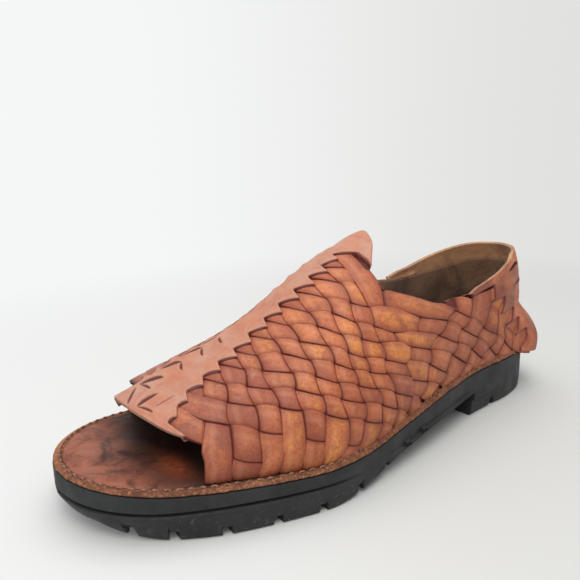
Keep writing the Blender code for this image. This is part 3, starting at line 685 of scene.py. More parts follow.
def ribbon(side, edge_a, edge_b, low, high, over_at, look, seed, cross=False):
    """One strip: its points, its faces and the painted values of their corners."""
    rng = random.Random(seed)
    runs = strip_runs(low, high, over_at)
    ts, marks = [], []
    for a, b, o in runs:
        count = max(3, int(round((b - a) * STEPS)))
        ts += list(np.linspace(a, b, count + 1))[1 if ts else 0:]
        marks += [(a, b, o, rng.random(), rng.random())] * count
    ts = np.array(ts)
    lift = np.full_like(ts, runs[0][2])
    for (_, cut, before), (_, _, after) in zip(runs[:-1], runs[1:]):
        lift += (after - before) * blend01(ts, cut - RISE_RUN, cut + RISE_RUN)
    height = look.strip_rise * (2.0 * lift - 1.0)
    trim = np.full_like(ts, look.strip_gap)
    for a, b, o in runs:
        mid = np.sin(math.pi * np.clip((ts - a) / (b - a), 0.0, 1.0))
        swell = o * look.strip_swell * min(1.0, b - a)
        height += np.where((ts > a) & (ts < b), swell * mid ** 0.7, 0.0)
        trim += np.where((ts >= a) & (ts <= b), (1 - 2 * o) * look.strip_wide * mid ** 0.6, 0.0)
    ua, sa = edge_a[0](ts, False), edge_a[1](ts, False)
    ub, sb = edge_b[0](ts, False), edge_b[1](ts, False)
    w = trim[:, None] + (1 - 2 * trim[:, None]) * ACROSS
    u = ua[:, None] * (1 - w) + ub[:, None] * w
    s = sa[:, None] * (1 - w) + sb[:, None] * w
    if side < 0:
        s = lean_share(u, s)
    s = np.minimum(np.maximum(s, -0.03), np.interp(u, *collar_cap(side)))
    lifts = height[:, None] + look.strip_thick * 0.5 + look.strip_thick * CROWN
    pts = skin(u, side, np.minimum(s, 0.999), lifts)
    cols, rows = pts.shape[:2]
    quads = grid_faces(cols, rows, 0, (side < 0) != cross)
    at = np.repeat(ts, rows)[quads]
    flat = np.tile(ACROSS if cross else 1.0 - ACROSS, cols)[quads]
    # Share of plum brown, growing towards the toe and near the heel.
    worn = (0.75 * blend01(u, 0.19, 0.235) + 0.2 * (1.0 - blend01(u, 0.03, 0.09))).ravel()[quads]
    a, b, o, tone, kind = np.repeat(np.array(marks), rows - 1, axis=0).T[:, :, None]
    ends = (b - at, at - a) if cross else (at - a, b - at)
    full = np.ones_like(at)
    weave = np.stack([*ends, flat, o * full], -1)
    tint = np.stack([tone * full, kind * full, worn, full], -1)
    return pts.reshape(-1, 3), quads, weave.reshape(-1, 4), tint.reshape(-1, 4)


def gather(parts):
    """Join ribbons into one list of points and faces."""
    verts, faces, weave, tint = zip(*parts)
    starts = np.cumsum([0] + [len(v) for v in verts])
    faces = [f + start for f, start in zip(faces, starts)]
    return [np.concatenate(x) for x in (verts, faces, weave, tint)]


# Where the cross strips near the throat and the heel end, by long line
CROSS_TOPS = {10: 12.6, 11: 10.2, 12: 11.15, 13: 12.0, 14: 12.35, 15: 12.3, 16: 12.3, 17: 12.3}


def cross_strips(side, look):
    """Strips that run down from the band and the collar to the sole."""
    parts = []
    for number in range(1, 18):
        left = number - 1 if number < 11 else number
        a, b = cross_line(left), cross_line(left + 1)
        low = min(a[2], b[2]) - 0.25
        high = CROSS_TOPS.get(number, number + 2.75)
        over = partial(cross_over, number)
        parts.append(ribbon(side, a, b, low, high, over, look, 100 * side + number, True))
    return parts


def long_strips(side, look):
    """Strips that run back from the band's slits to the sole and the collar."""
    spans = []
    for number in range(1, 11):
        lower, upper = long_line(number - 1), long_line(number)
        low = number - (4.02 if number == 1 else 4.25)
        high = 3.0 if number == 1 else max(lower[2], upper[2])
        spans.append((number, lower, upper, low, high, 500))
    throat, heel = long_line(11), long_line(11, True)
    spans += [(11, long_line(10), throat, 6.8, 10.0, 700), (12, throat, long_line(12), 7.8, 9.9, 700),
              (11, long_line(10), heel, 11.6, 18.0, 800), (12, heel, long_line(12, True), 13.3, 18.0, 800)]
    return [ribbon(side, lower, upper, low, high, partial(long_over, number), look, seed * side + number)
            for number, lower, upper, low, high, seed in spans]


# Band and heel piece

def segment_distance(px, py, poly):
    """Distance from points to a polygon's edge."""
    best = np.full(px.shape, 1e9)
    for (ax, ay), (bx, by) in zip(poly, poly[1:] + poly[:1]):
        dx, dy = bx - ax, by - ay
        t = np.clip(((px - ax) * dx + (py - ay) * dy) / (dx * dx + dy * dy + 1e-18), 0, 1)
        best = np.minimum(best, np.hypot(px - ax - t * dx, py - ay - t * dy))
    return best


def inside(px, py, poly):
    """Whether points lie inside a polygon."""
    out = np.zeros(px.shape, bool)
    for (ax, ay), (bx, by) in zip(poly, poly[1:] + poly[:1]):
        hit = (ay > py) != (by > py)
        cross = (bx - ax) * (py - ay) / np.where(by == ay, 1e-12, by - ay) + ax
        out ^= hit & (px < cross)
    return out


def signed_distance(px, py, poly):
    """Distance inwards from a polygon's edge, negative outside."""
    d = segment_distance(px, py, poly)
    return np.where(inside(px, py, poly), d, -d)


# The band is drawn flat: station along, and share times this height across
TALL = 0.095
# Edge of the tongue at the throat: station, share below the ridge
TAB_EDGE = [(0.1238, 0.0), (0.1243, 0.03), (0.1260, 0.065), (0.1282, 0.105), (0.1308, 0.143),
            (0.1360, 0.2), (0.1388, 0.235)]
# Slits near the ridge, cut from the inner side: two ends (station mm, share on the outer side), width
RIDGE_SLITS = [
    ((259.2, .805), (249.5, .827), .0028), ((259.0, .80), (255.5, .70), .0009),
    ((252.7, .992), (243.5, .93), .0030), ((252.5, .985), (250.8, .90), .0009),
    ((254.5, .985), (261.5, .87), .0010), ((252.8, .735), (245, .745), .0004),
    ((242.2, 1.012), (233.4, .968), .0026), ((233.6, .965), (235.8, .90), .0009),
    ((230.7, 1.012), (222.2, .992), .0024), ((222.4, .985), (225, .925), .0009),
    ((220.4, 1.012), (213.5, 1.004), .0022), ((213, .99), (214.5, .94), .0009),
]


def lens(a, b, wide, toward=1.0, count=9):
    """Leaf-shaped outline between two points, bulging to one side of the chord."""
    a, b = np.array(a, float), np.array(b, float)
    way = b - a
    off = np.array([way[1], -way[0]]) / np.linalg.norm(way)
    if off[1] * toward < 0:
        off = -off
    steps = np.linspace(0.0, 1.0, count)
    low = [a + way * t for t in steps]
    high = [p + off * wide * (4 * t * (1.0 - t)) ** 0.7 for p, t in zip(low, steps)]
    return [tuple(p) for p in low] + [tuple(p) for p in high[::-1]]


def slit_corners():
    """Slit corners of the band and the far end of each slit, toe to throat."""
    rows = []
    for k in range(-3, 10):
        corner = CROSSINGS[(k, k + 3)]
        after = CROSSINGS[(k + 1, k + 4)] if k < 9 else (0.1405, 0.90)
        below = CROSSINGS[(k + 1, k + 3)] if k < 9 else (0.1385, 0.83)
        end = (after[0] * 0.52 + below[0] * 0.48, after[1] * 0.52 + below[1] * 0.48)
        rows.append((corner, end))
    return rows


def band_shape():
    """Outline of the band in station and height over the ridge, and its slits."""
    outer, inner, slits = [], [], []
    for ends in slit_corners():
        a, b = [(u, (s - 1) * TALL) for u, s in ends]
        c, d = [(u, (1 - float(lean_share(u, s))) * TALL) for u, s in ends]
        outer += [a, b]
        inner += [c, d]
        slits.append(lens(a, b, 0.0008 + 0.0009 * float(blend01(a[0], 0.215, 0.24))))
        slits.append(lens(c, d, 0.0014, -1.0))
    for a, b, wide in RIDGE_SLITS:
        slits.append(lens(*[(u * MM, (s - 1) * TALL) for u, s in (a, b)], wide))
    tab = [(u, -h * TALL) for u, h in TAB_EDGE]
    back = [(u, h * TALL) for u, h in TAB_EDGE[:-1]]
    toe = [(u * MM, (s - 1) * TALL) for u, s in LONG_LINES[0][1][2:0:-1]]
    poly = [(0.3, toe[0][1])] + toe + outer + tab[::-1] + back + inner[::-1] + [(0.3, inner[0][1])]
    return poly, outer, inner, slits


# How deep the band's outer face lies beyond its edge, and how far it rises inside the edge
BAND_SUNK = -0.0006
BAND_RISE = 0.0033


def band_piece(look, mats):
    """Smooth centre band with slits down both sides and a tongue at the throat."""
    poly, outer, inner, slits = band_shape()
    last = TOE_EDGE - 0.003 * LENGTH
    tongue = np.linspace(0, 1, 24) ** 1.6 * 0.012 + 0.1239
    stations = np.concatenate([tongue, np.linspace(0.1362, last, 360)])
    across = np.linspace(-1.0, 1.0, 175)
    tab_half = np.interp(stations, [t[0] for t in TAB_EDGE], [t[1] for t in TAB_EDGE])
    mixed = blend01(stations, 0.1405, 0.1475)
    halves = []
    for side_edge, more in ((outer, 0.075), (inner, 0.06)):
        us = np.array([p[0] for p in side_edge])[::-1]
        half = np.abs(np.array([p[1] for p in side_edge]))[::-1] / TALL
        reach = more + 0.07 * blend01(stations, 0.243, 0.251)
        halves.append(tab_half * (1 - mixed) + (np.interp(stations, us, half) + reach) * mixed)
    tops, lows, depth, raw = [], [], [], []
    boxes = [(min(p[0] for p in q) - 0.003, max(p[0] for p in q) + 0.003) for q in slits]
    for station, wide_out, wide_in in zip(stations, *halves):
        half = np.where(across > 0, wide_out, wide_in) * np.abs(across)
        share = 1.0 - half
        u = np.full_like(share, station)
        if station > TOE_TURN:
            end = front_edge(share) + 0.0004
            u = TOE_TURN + (station - TOE_TURN) * (end - TOE_TURN) / (last - TOE_TURN)
        y = np.where(across > 0, -half, half) * TALL
        d = signed_distance(u, y, poly)
        free = station < 0.1388
        if free:
            d = np.maximum(d, 0.0012)
        cut = np.full_like(d, 0.01)
        for q, box in zip(slits, boxes):
            if box[0] < u.max() and u.min() < box[1]:
                cut = np.minimum(cut, -signed_distance(u, y, q))
        rise = blend01(d, -0.0004, 0.0003)
        near = np.minimum(d, cut)
        lip = np.exp(-((near - 0.0009) / 0.0009) ** 2) * 0.0003
        floor = 0.0003 * (1.0 - blend01(cut, -0.0003, 0.0003))
        top = BAND_SUNK + BAND_RISE * rise + lip * rise - floor * rise
        if station < THROAT:
            edge_near = 1.0 - blend01((1 - np.abs(across)) * wide_out * TALL, 0.0, 0.0011)
            top = top - 0.0006 * edge_near * free
            top += 0.0018 * blend01(THROAT - station, 0.0, 0.016)
        under = top - look.band_thick
        outside = across[:, None] > 0
        tops.append(np.where(outside, skin(u, 1, share, top), skin(u, -1, share, top)))
        lows.append(np.where(outside, skin(u, 1, share, under), skin(u, -1, share, under)))
        # Painted shade in the slits and along the band's edges.
        depth.append(np.clip(1.0 - blend01(near, -0.0001, 0.0004), 0, 1))
        raw.append(np.exp(-np.maximum(near - 0.0004, 0) / 0.0006) * 0.35 * (near > 0.0002))
    return slab("centre_band", *[np.array(x) for x in (tops, lows, depth, raw)], mats)


def slab(name, tops, lows, depth, raw, mats):
    """Closed sheet between an outer and an inner grid."""
    cols, rows = tops.shape[:2]
    off = cols * rows
    round_trip = [(i, 0) for i in range(cols)] + [(cols - 1, k) for k in range(1, rows)]
    round_trip += [(i, rows - 1) for i in range(cols - 2, -1, -1)] + [(0, k) for k in range(rows - 2, 0, -1)]
    at = tuple(np.array(round_trip).T)
    rim = len(round_trip)
    pick = [np.unique(np.append(np.arange(0, n, 3), n - 1)) for n in (cols, rows)]
    coarse = lows[np.ix_(*pick)]
    verts = np.concatenate([tops.reshape(-1, 3), tops[at], lows[at], coarse.reshape(-1, 3)])
    faces = [tuple(f) for f in grid_faces(cols, rows)]
    ids = [0] * len(faces)
    faces += [(off + k, off + rim + k, off + rim + (k + 1) % rim, off + (k + 1) % rim) for k in range(rim)]
    faces += [tuple(f) for f in grid_faces(len(pick[0]), len(pick[1]), off + 2 * rim, True)]
    ids += [1] * (len(faces) - len(ids))
    obj = add_mesh(name, verts, faces, mats, mat_ids=ids)
    zero = np.zeros(len(verts) - off)
    paint_wear_and_shade(obj, np.append(depth, zero), np.append(raw, zero))
    return obj


# Front edge of the heel piece, and its slits with their width: station (mm), share of the way up
HEEL_TEETH = [(75, .408), (54.8, .432), (54.6, .355), (59, .336), (44.0, .347), (45.2, .30), (48.6, .253),
              (31, .255), (34, .188), (42.5, .166), (23, .174), (25.5, .125), (30, .078), (19.4, .114),
              (20.5, .065), (24, .012)]
HEEL_SLITS = [((37.5, .482), (16, .497), .0016), ((-2, .49), (-11.2, .47), .0013),
              ((30, .384), (13, .388), .0007), ((14, .282), (3, .305), .0013)]
HEEL_FRONT = 0.0830
# The heel piece is drawn flat like the band
HEEL_TALL = 0.085
# How deep its outer face lies beyond its edge, how far it rises inside, and its deepest inner face
HEEL_SUNK = -0.0009
HEEL_RISE = 0.0034
HEEL_INSIDE = -0.0012
HEEL_FOOT = -0.012


def heel_piece(look, outer, inner):
    """Heel leather wrapped round the back, flared over the sole, saw-toothed in front."""
    turns = np.linspace(-1.0, 1.0, 301)
    ups = np.linspace(0.0, 1.0, 121)
    tall = HEEL_TALL
    poly = [(0.0790, 0.7 * tall), (0.0785, 0.425 * tall)] + [(u * MM, s * tall) for u, s in HEEL_TEETH]
    poly += [(0.0205, -0.2 * tall), (-0.08, -0.2 * tall), (-0.08, 2 * tall), (0.079, 2 * tall)]
    slits = [lens((a[0] * MM, a[1] * tall), (b[0] * MM, b[1] * tall), w) for a, b, w in HEEL_SLITS]
    stations = REAR + (HEEL_FRONT - REAR) * np.abs(turns)
    wall = woven_edge(stations)
    heights = wall + (heel_edge(stations) - wall) * blend01(HEEL_FRONT - stations, 0.0, 0.014)
    tops, lows, depth = [], [], []
    for turn, station, height in zip(turns, stations, heights):
        side = 1 if turn >= 0 else -1
        end = share_at(station, side, height)[0]
        share = HEEL_FOOT + (end - HEEL_FOOT) * ups
        u = np.full_like(share, station)
        d = signed_distance(u, share * tall, poly)
        if side > 0:
            for slit in slits:
                d = np.minimum(d, -signed_distance(u, share * tall, slit))
        rise = blend01(d, -0.0004, 0.0003)
        lip = 0.0003 * np.exp(-((d - 0.0008) / 0.0008) ** 2)
        top = HEEL_SUNK + HEEL_RISE * rise + lip * rise
        tops.append(skin(u, side, share, top))
        lows.append(skin(u, side, share, np.maximum(top - look.heel_thick, HEEL_INSIDE)))
        # Painted shade round the teeth and the slits.
        depth.append(1.0 - blend01(d, 0.0001, 0.0009))
    depth = np.array(depth)
    return slab("heel_piece", np.array(tops), np.array(lows), depth, depth * 0, [outer, inner])


def lining_piece(look, mat):
    """Inside of the woven wall, with its thin collar edge."""
    parts, faces, shade = [], [], []
    total = 0
    stations = np.concatenate([np.linspace(REAR, THROAT - 0.001, 110), np.linspace(THROAT, TOE_EDGE, 90)])
    ups = np.linspace(0.0, 1.0, 41)
    for side in (1, -1):
        tops = np.where(stations < THROAT - 0.0005, share_at(stations, side, woven_edge(stations)), 1.0)
        grid = []
        for station, end in zip(stations, tops):
            share = end * ups
            u = np.full_like(share, station)
            if station > TOE_TURN:
                stop = front_edge(share) - 0.0008
                u = TOE_TURN + (station - TOE_TURN) * (stop - TOE_TURN) / (TOE_EDGE - TOE_TURN)
            lift = np.where(ups > 0.985, -0.0004, -look.wall_inside)
            grid.append(skin(u, side, share, lift))
        grid = np.array(grid)
        cols, rows = grid.shape[:2]
        parts.append(grid.reshape(-1, 3))
        faces.append(grid_faces(cols, rows, total, side > 0))
        shade.append(np.tile(np.clip(0.55 * (1 - ups), 0, 1), cols))
        total += cols * rows
    obj = add_mesh("wall_lining", np.concatenate(parts), np.concatenate(faces), [mat])
    paint_wear_and_shade(obj, np.concatenate(shade))
    return obj


# Sole

def sole_columns():
    """Lengthwise places that catch the round ends and each notch's two walls."""
    ends = 0.5 - 0.5 * np.cos(np.linspace(0, math.pi, 150))
    xs = list(ends * LENGTH)
    for place, _ in NOTCHES:
        for wall in (place * LENGTH - NOTCH_HALF, place * LENGTH + NOTCH_HALF):
            xs += [wall - 0.00015, wall + 0.00015]
    xs += [HEEL_BREAST - 0.0002, HEEL_BREAST + 0.0002]
    return np.array(sorted(xs))


def sole_low(xs):
    """Underside height, with the heel block and the notches."""
    low = np.maximum(rubber_low(xs), 0.0)
    low = np.where(xs < HEEL_BREAST, 0.0, low)
    for place, start in NOTCHES:
        x = place * LENGTH
        depth = NOTCH_DEEP * (1.0 if start < 0.1 else 0.7)
        base = start * HEEL_HEIGHT
        low = np.where(np.abs(xs - x) < NOTCH_HALF, np.maximum(low, base + depth), low)
    return low


def rubber_unit(mat):
    """Moulded sole: rounded edges, side groove, heel block and lugs."""
    loop = outline_dense()
    normal = loop_normals(loop)
    xs = sole_columns()
    half = len(loop) // 2
    sides = []
    for part in (slice(0, half + 1), slice(half, len(loop) + 1)):
        pts = np.concatenate([loop, loop[:1]])[part]
        nrm = np.concatenate([normal, normal[:1]])[part]
        order = np.argsort(pts[:, 0])
        pts, nrm = pts[order], nrm[order]
        y = np.interp(xs, pts[:, 0], pts[:, 1])
        n = np.stack([np.interp(xs, pts[:, 0], nrm[:, k]) for k in range(2)], 1)
        n /= np.linalg.norm(n, axis=1)[:, None]
        sides.append((y, n))
    low = sole_low(xs)
    top = rubber_top(xs)
    mid = groove_height(xs)
    gs = groove_share(xs)
    deep = 0.0015 * gs
    wide = 0.0007
    taper = np.where(xs < HEEL_BREAST, 0.0012, 0.0)

    def ring(inset, z):
        rows = []
        for y, n in sides:
            base = np.stack([xs, y], 1) + n * np.asarray(inset)[..., None] * np.ones((len(xs), 1))
            rows.append(np.column_stack([base, z]))
        return rows

    base = np.maximum(low, 0.0)
    high_low = np.minimum(np.maximum(mid - wide - 0.0004, base + 0.0021), top - 0.004)
    toe = 0.0075 * blend01(xs / LENGTH, 0.80, 1.0)
    rings = [
        ring(0.0032, top),
        ring(0.0012, top),
        ring(0.0004, top - 0.0003),
        ring(0.0, top - 0.0012),
        ring(0.0, np.maximum(mid + wide + 0.0004, high_low + 0.0014)),
        ring(deep * 0.35, np.maximum(mid + wide, high_low + 0.0011)),
        ring(deep, np.maximum(mid + wide * 0.4, high_low + 0.0008)),
        ring(deep, np.maximum(mid - wide * 0.4, high_low + 0.0005)),
        ring(deep * 0.35, np.maximum(mid - wide, high_low + 0.0002)),
        ring(0.0, high_low),
        ring(taper * 0.1 + toe * 0.10, base + (high_low - base) * 0.78),
        ring(taper * 0.2 + toe * 0.30, base + (high_low - base) * 0.50),
        ring(taper * 0.4 + 0.0001 + toe * 0.62,
             base + np.minimum(0.0018 + toe * 0.2, (high_low - base) * 0.4)),
        ring(taper * 0.7 + 0.0005 + toe * 0.82, base + 0.0006),
        ring(taper + 0.0014 + toe, base),
    ]
    verts, faces, low_mark, groove_mark = [], [], [], []
    # Each ring's marks: how low it lies for the scuffs, how deep in the groove for the painted shade
    marks = [(0, 0), (0, 0), (0, 0), (0.1, 0), (0.2, 0), (0.2, 0.5), (0.2, 1), (0.2, 1), (0.2, 0.5),
             (0.4, 0), (0.5, 0), (0.6, 0), (0.9, 0), (1, 0), (0.6, 0.2)]
    total = 0
    n = len(xs)
    for s in (0, 1):
        pts = np.stack([r[s] for r in rings], 1)
        verts.append(pts.reshape(-1, 3))
        faces.append(grid_faces(n, len(rings), total, s == 0))
        low_mark.append(np.tile([m[0] for m in marks], n))
        groove_mark.append((np.array([m[1] for m in marks])[None, :] * gs[:, None]).ravel())
        total += n * len(rings)
    verts = np.concatenate(verts)
    faces = [tuple(f) for f in np.concatenate(faces)]
    rows = len(rings)
    second = n * rows
    extra, extra_faces = [], []
    for ring_no, flip in ((0, False), (rows - 1, True)):
        shares = np.linspace(0, 1, 13)
        grid = []
        for k in range(n):
            a = verts[k * rows + ring_no]
            b = verts[second + k * rows + ring_no]
            line = []
            for t in shares:
                if t in (0.0, 1.0):
                    line.append(k * rows + ring_no if t == 0.0 else second + k * rows + ring_no)
                else:
                    extra.append(a + (b - a) * t)
                    line.append(len(verts) + len(extra) - 1)
            grid.append(line)
        for k in range(n - 1):
            for m in range(len(shares) - 1):
                quad = (grid[k][m], grid[k + 1][m], grid[k + 1][m + 1], grid[k][m + 1])
                extra_faces.append(quad[::-1] if flip else quad)
    for end in (0, n - 1):
        for r in range(rows - 1):
            quad = (end * rows + r, end * rows + r + 1, second + end * rows + r + 1, second + end * rows + r)
            extra_faces.append(quad if end else quad[::-1])
    obj = add_mesh("rubber_unit", np.concatenate([verts, np.array(extra)]), faces + extra_faces, [mat])
    blank = np.zeros(len(extra))
    paint_wear_and_shade(obj, np.concatenate([*low_mark, blank + 0.5]), np.concatenate([*groove_mark, blank]))
    obj.data.set_sharp_from_angle(angle=math.radians(42))
    return obj


def toe_bead(x):
    """How much the rim stands up as a bead: only round the open toe."""
    return blend01(x / LENGTH, 0.61, 0.692)


def rim_piece(mat):
    """Leather board whose worn edge shows all round."""
    loop = outline_dense()[::3]
    normal = loop_normals(loop)
    bead = toe_bead(loop[:, 0])
    run = np.r_[0.0, np.cumsum(np.hypot(*np.diff(loop, axis=0).T))]
    rng = np.random.default_rng(7)
    wobble = np.zeros(len(loop))
    for waves in (17, 31, 53, 89, 140):
        wobble += np.cos(2 * math.pi * waves * run / run[-1] + rng.random() * 6.28) / 5
    # Inset, height over the rubber (mm), change of height at the bead (mm), darkness
    profile = [
        (0.0105, 0.6, -0.4, 0.8), (0.0062, 2.2, -0.9, 0.7), (0.0046, 2.3, -0.9, 0.35),
        (0.0038, 2.35, -0.8, 0.1), (0.0031, 2.4, -0.65, 0.0), (0.0024, 2.35, -0.6, 0.0),
        (0.0017, 2.15, -0.5, 0.0), (0.0011, 1.8, -0.4, 0.0), (0.0007, 1.3, -0.25, 0.0),
        (0.0004, 0.9, -0.1, 0.0), (0.0003, 0.5, 0.0, 0.1), (0.0006, 0.25, 0.0, 0.7), (0.0014, 0.1, 0.0, 1.0),
    ]
    rings, rub, dark = [], [], []
    toe = blend01(loop[:, 0] / LENGTH, 0.86, 0.97)
    inner_toe = blend01(-loop[:, 1], -0.01, 0.035)
    for k, (inset, z, add, under) in enumerate(profile):
        rough = wobble * 0.00022 * (1.0 if 2 < k < 11 else 0.2)
        flat = loop + normal * (inset + rough)[:, None]
        rings.append(np.column_stack([flat, rubber_top(flat[:, 0]) + (z + add * bead) * MM + rough * 0.8]))
        rub.append((0.15 + 0.85 * toe * inner_toe) * (1.0 if 4 < k < 10 else 0.25))
        dark.append(np.full(len(loop), under))
    pts = np.stack(rings, 1)
    cols, rows = pts.shape[:2]
    quads = list(grid_faces(cols, rows))
    quads += [((cols - 1) * rows + k, k, k + 1, (cols - 1) * rows + k + 1) for k in range(rows - 1)]
    faces = [tuple(f)[::-1] for f in quads]
    verts = pts.reshape(-1, 3)
    start = len(verts)
    half = cols // 2
    extra, extra_faces = [], []
    grid = []
    for i in range(half + 1):
        a, b = i * rows, ((cols - i) % cols) * rows
        line = [a]
        if 0 < i < half:
            for t in np.linspace(0, 1, 9)[1:-1]:
                extra.append(verts[a] + (verts[b] - verts[a]) * t)
                line.append(start + len(extra) - 1)
            line.append(b)
        grid.append(line)
    for i in range(1, half - 1):
        for k in range(8):
            extra_faces.append((grid[i][k], grid[i][k + 1], grid[i + 1][k + 1], grid[i + 1][k]))
    obj = add_mesh("stitched_rim", np.concatenate([verts, np.array(extra)]), faces + extra_faces, [mat])
    blank = np.zeros(len(extra))
    paint_wear_and_shade(obj, np.append(np.stack(rub, 1), blank), np.append(np.stack(dark, 1), blank + 0.9))
    return obj


# Six-sided rings along one stitch
STITCH_RINGS = 7


def seam_stitches(look, mat):
    """Row of short thread stitches just inside the rim's edge."""
    loop = outline_dense()
    normal = loop_normals(loop)
    seam = loop + normal * 0.0030
    closed = np.concatenate([seam, seam[:1]])
    run = np.r_[0.0, np.cumsum(np.hypot(*np.diff(closed, axis=0).T))]
    pitch = look.stitch_pitch
    count = int(run[-1] / pitch)
    rng = random.Random(11)
    verts, faces = [], []
    last = STITCH_RINGS - 1
    for k in range(count):
        mid = (k + 0.5) * pitch + rng.uniform(-0.0003, 0.0003)
        length = pitch * rng.uniform(0.56, 0.7)
        path = []
        for t in np.linspace(-0.5, 0.5, STITCH_RINGS):
            at = mid + t * length
            x = np.interp(at, run, closed[:, 0])
            y = np.interp(at, run, closed[:, 1])
            arch = 1.0 - (2 * t) ** 2
            z = rubber_top(x) + (2.4 - 0.65 * float(toe_bead(x))) * MM - 0.0003 + 0.00075 * arch
            path.append(Vector((x, y, float(z))))
        radius = 0.00045 * rng.uniform(0.85, 1.15)
        start = len(verts)
        for i, p in enumerate(path):
            way = (path[min(i + 1, last)] - path[max(i - 1, 0)]).normalized()
            side = way.cross(Vector((0, 0, 1))).normalized()
            up = side.cross(way)
            r = radius * (0.45 if i in (0, last) else 1.0)
            for a in range(6):
                c, s = math.cos(a * math.pi / 3), math.sin(a * math.pi / 3)
                verts.append(tuple(p + side * (r * c) + up * (r * s)))
        for i in range(last):
            low, high = start + i * 6, start + i * 6 + 6
            for a in range(6):
                b = (a + 1) % 6
                faces.append((low + a, low + b, high + b, high + a))
        faces.append(tuple(start + a for a in range(5, -1, -1)))
        faces.append(tuple(start + last * 6 + a for a in range(6)))
    return add_mesh("seam_stitches", verts, faces, [mat])


# Rubbed patch of the footbed: its middle as station and distance from the midline, and its size
WARM_PLACE = (0.2490, 0.022)
WARM_SIZE = (0.0060, 0.014)


def footbed_piece(mat):
    """Footbed with a shallow dish, dust at the toe and a warm worn patch."""
    loop = outline_dense()[::3]
    x = loop[:, 0]
    toe = blend01(x / LENGTH, 0.80, 0.904)
    inset = 0.0102 + (0.0041 - 0.0102) * toe
    foot = loop + loop_normals(loop) * inset[:, None]
    cols = len(foot)
    half = cols // 2
    shares = 0.5 - 0.5 * np.cos(np.linspace(0, math.pi, 41))
    verts, mark, faces, grid = [], [], [], []
    lift = RIM_THICK + 0.0019
    for i in range(1, half):
        a, b = foot[i], foot[(cols - i) % cols]
        line = []
        for t in shares:
            p = a + (b - a) * t
            edge = min(t, 1 - t)
            dish = 0.0009 * min(1.0, edge / 0.3)
            wide = np.linalg.norm(b - a)
            drop = 0.0014 * math.exp(-(edge * wide / 0.0011))
            z = float(rubber_top(p[0])) + lift - 0.0026 * float(blend01(p[0], 0.19, 0.25)) - dish - drop
            line.append(len(verts))
            verts.append((p[0], p[1], z))
            dust = float(blend01(p[0], 0.228, 0.272)) * 0.9
            away = [(p[k] - WARM_PLACE[k]) / WARM_SIZE[k] for k in (0, 1)]
            warm = math.exp(-(away[0] ** 2 + away[1] ** 2))
            shade = float(1.0 - blend01(p[0], 0.246, 0.275)) * 0.84 * (1.0 - 0.75 * min(1.0, 1.3 * warm))
            mark.append((dust, warm, shade))
        grid.append(line)
    for i in range(len(grid) - 1):
        for k in range(len(shares) - 1):
            faces.append((grid[i][k], grid[i][k + 1], grid[i + 1][k + 1], grid[i + 1][k]))
    obj = add_mesh("footbed", verts, faces, [mat])
    paint_wear_and_shade(obj, *np.array(mark).T)
    return obj


# Sizes and colours that a maker may change

def length_prop(name, text, value):
    return bpy.props.FloatProperty(name=name, description=text, default=value, unit="LENGTH",
                                   min=0.0, precision=5)


def share_prop(name, text, value):
    return bpy.props.FloatProperty(name=name, description=text, default=value, min=0.0, max=0.2)


def colour_prop(name, text, value):
    return bpy.props.FloatVectorProperty(name=name, description=text, default=value, subtype="COLOR",
                                         size=3, min=0.0, max=1.0)


class HuaracheSizes(bpy.types.PropertyGroup):
    """Sizes of the visible leather and thread."""
    strip_thick: length_prop("Strip thickness", "Thickness of a woven strip", 0.0015)
    strip_rise: length_prop("Strip rise", "How far a strip stands above or below the wall", 0.0006)
    strip_swell: length_prop("Strip swell", "Extra bulge of a strip between its crossings", 0.0005)
    strip_gap: share_prop("Strip gap", "Share of the width left open at each side", 0.003)
    strip_wide: share_prop("Strip widening", "Share by which a strip widens on top", 0.085)
    wall_inside: length_prop("Wall inside", "Depth of the wall's inner face", 0.0017)
    band_thick: length_prop("Band thickness", "Thickness of the centre band", 0.002)
    heel_thick: length_prop("Heel piece thickness", "Thickness of the heel leather", 0.0022)
    stitch_pitch: length_prop("Stitch pitch", "Distance from one rim stitch to the next", 0.0046)


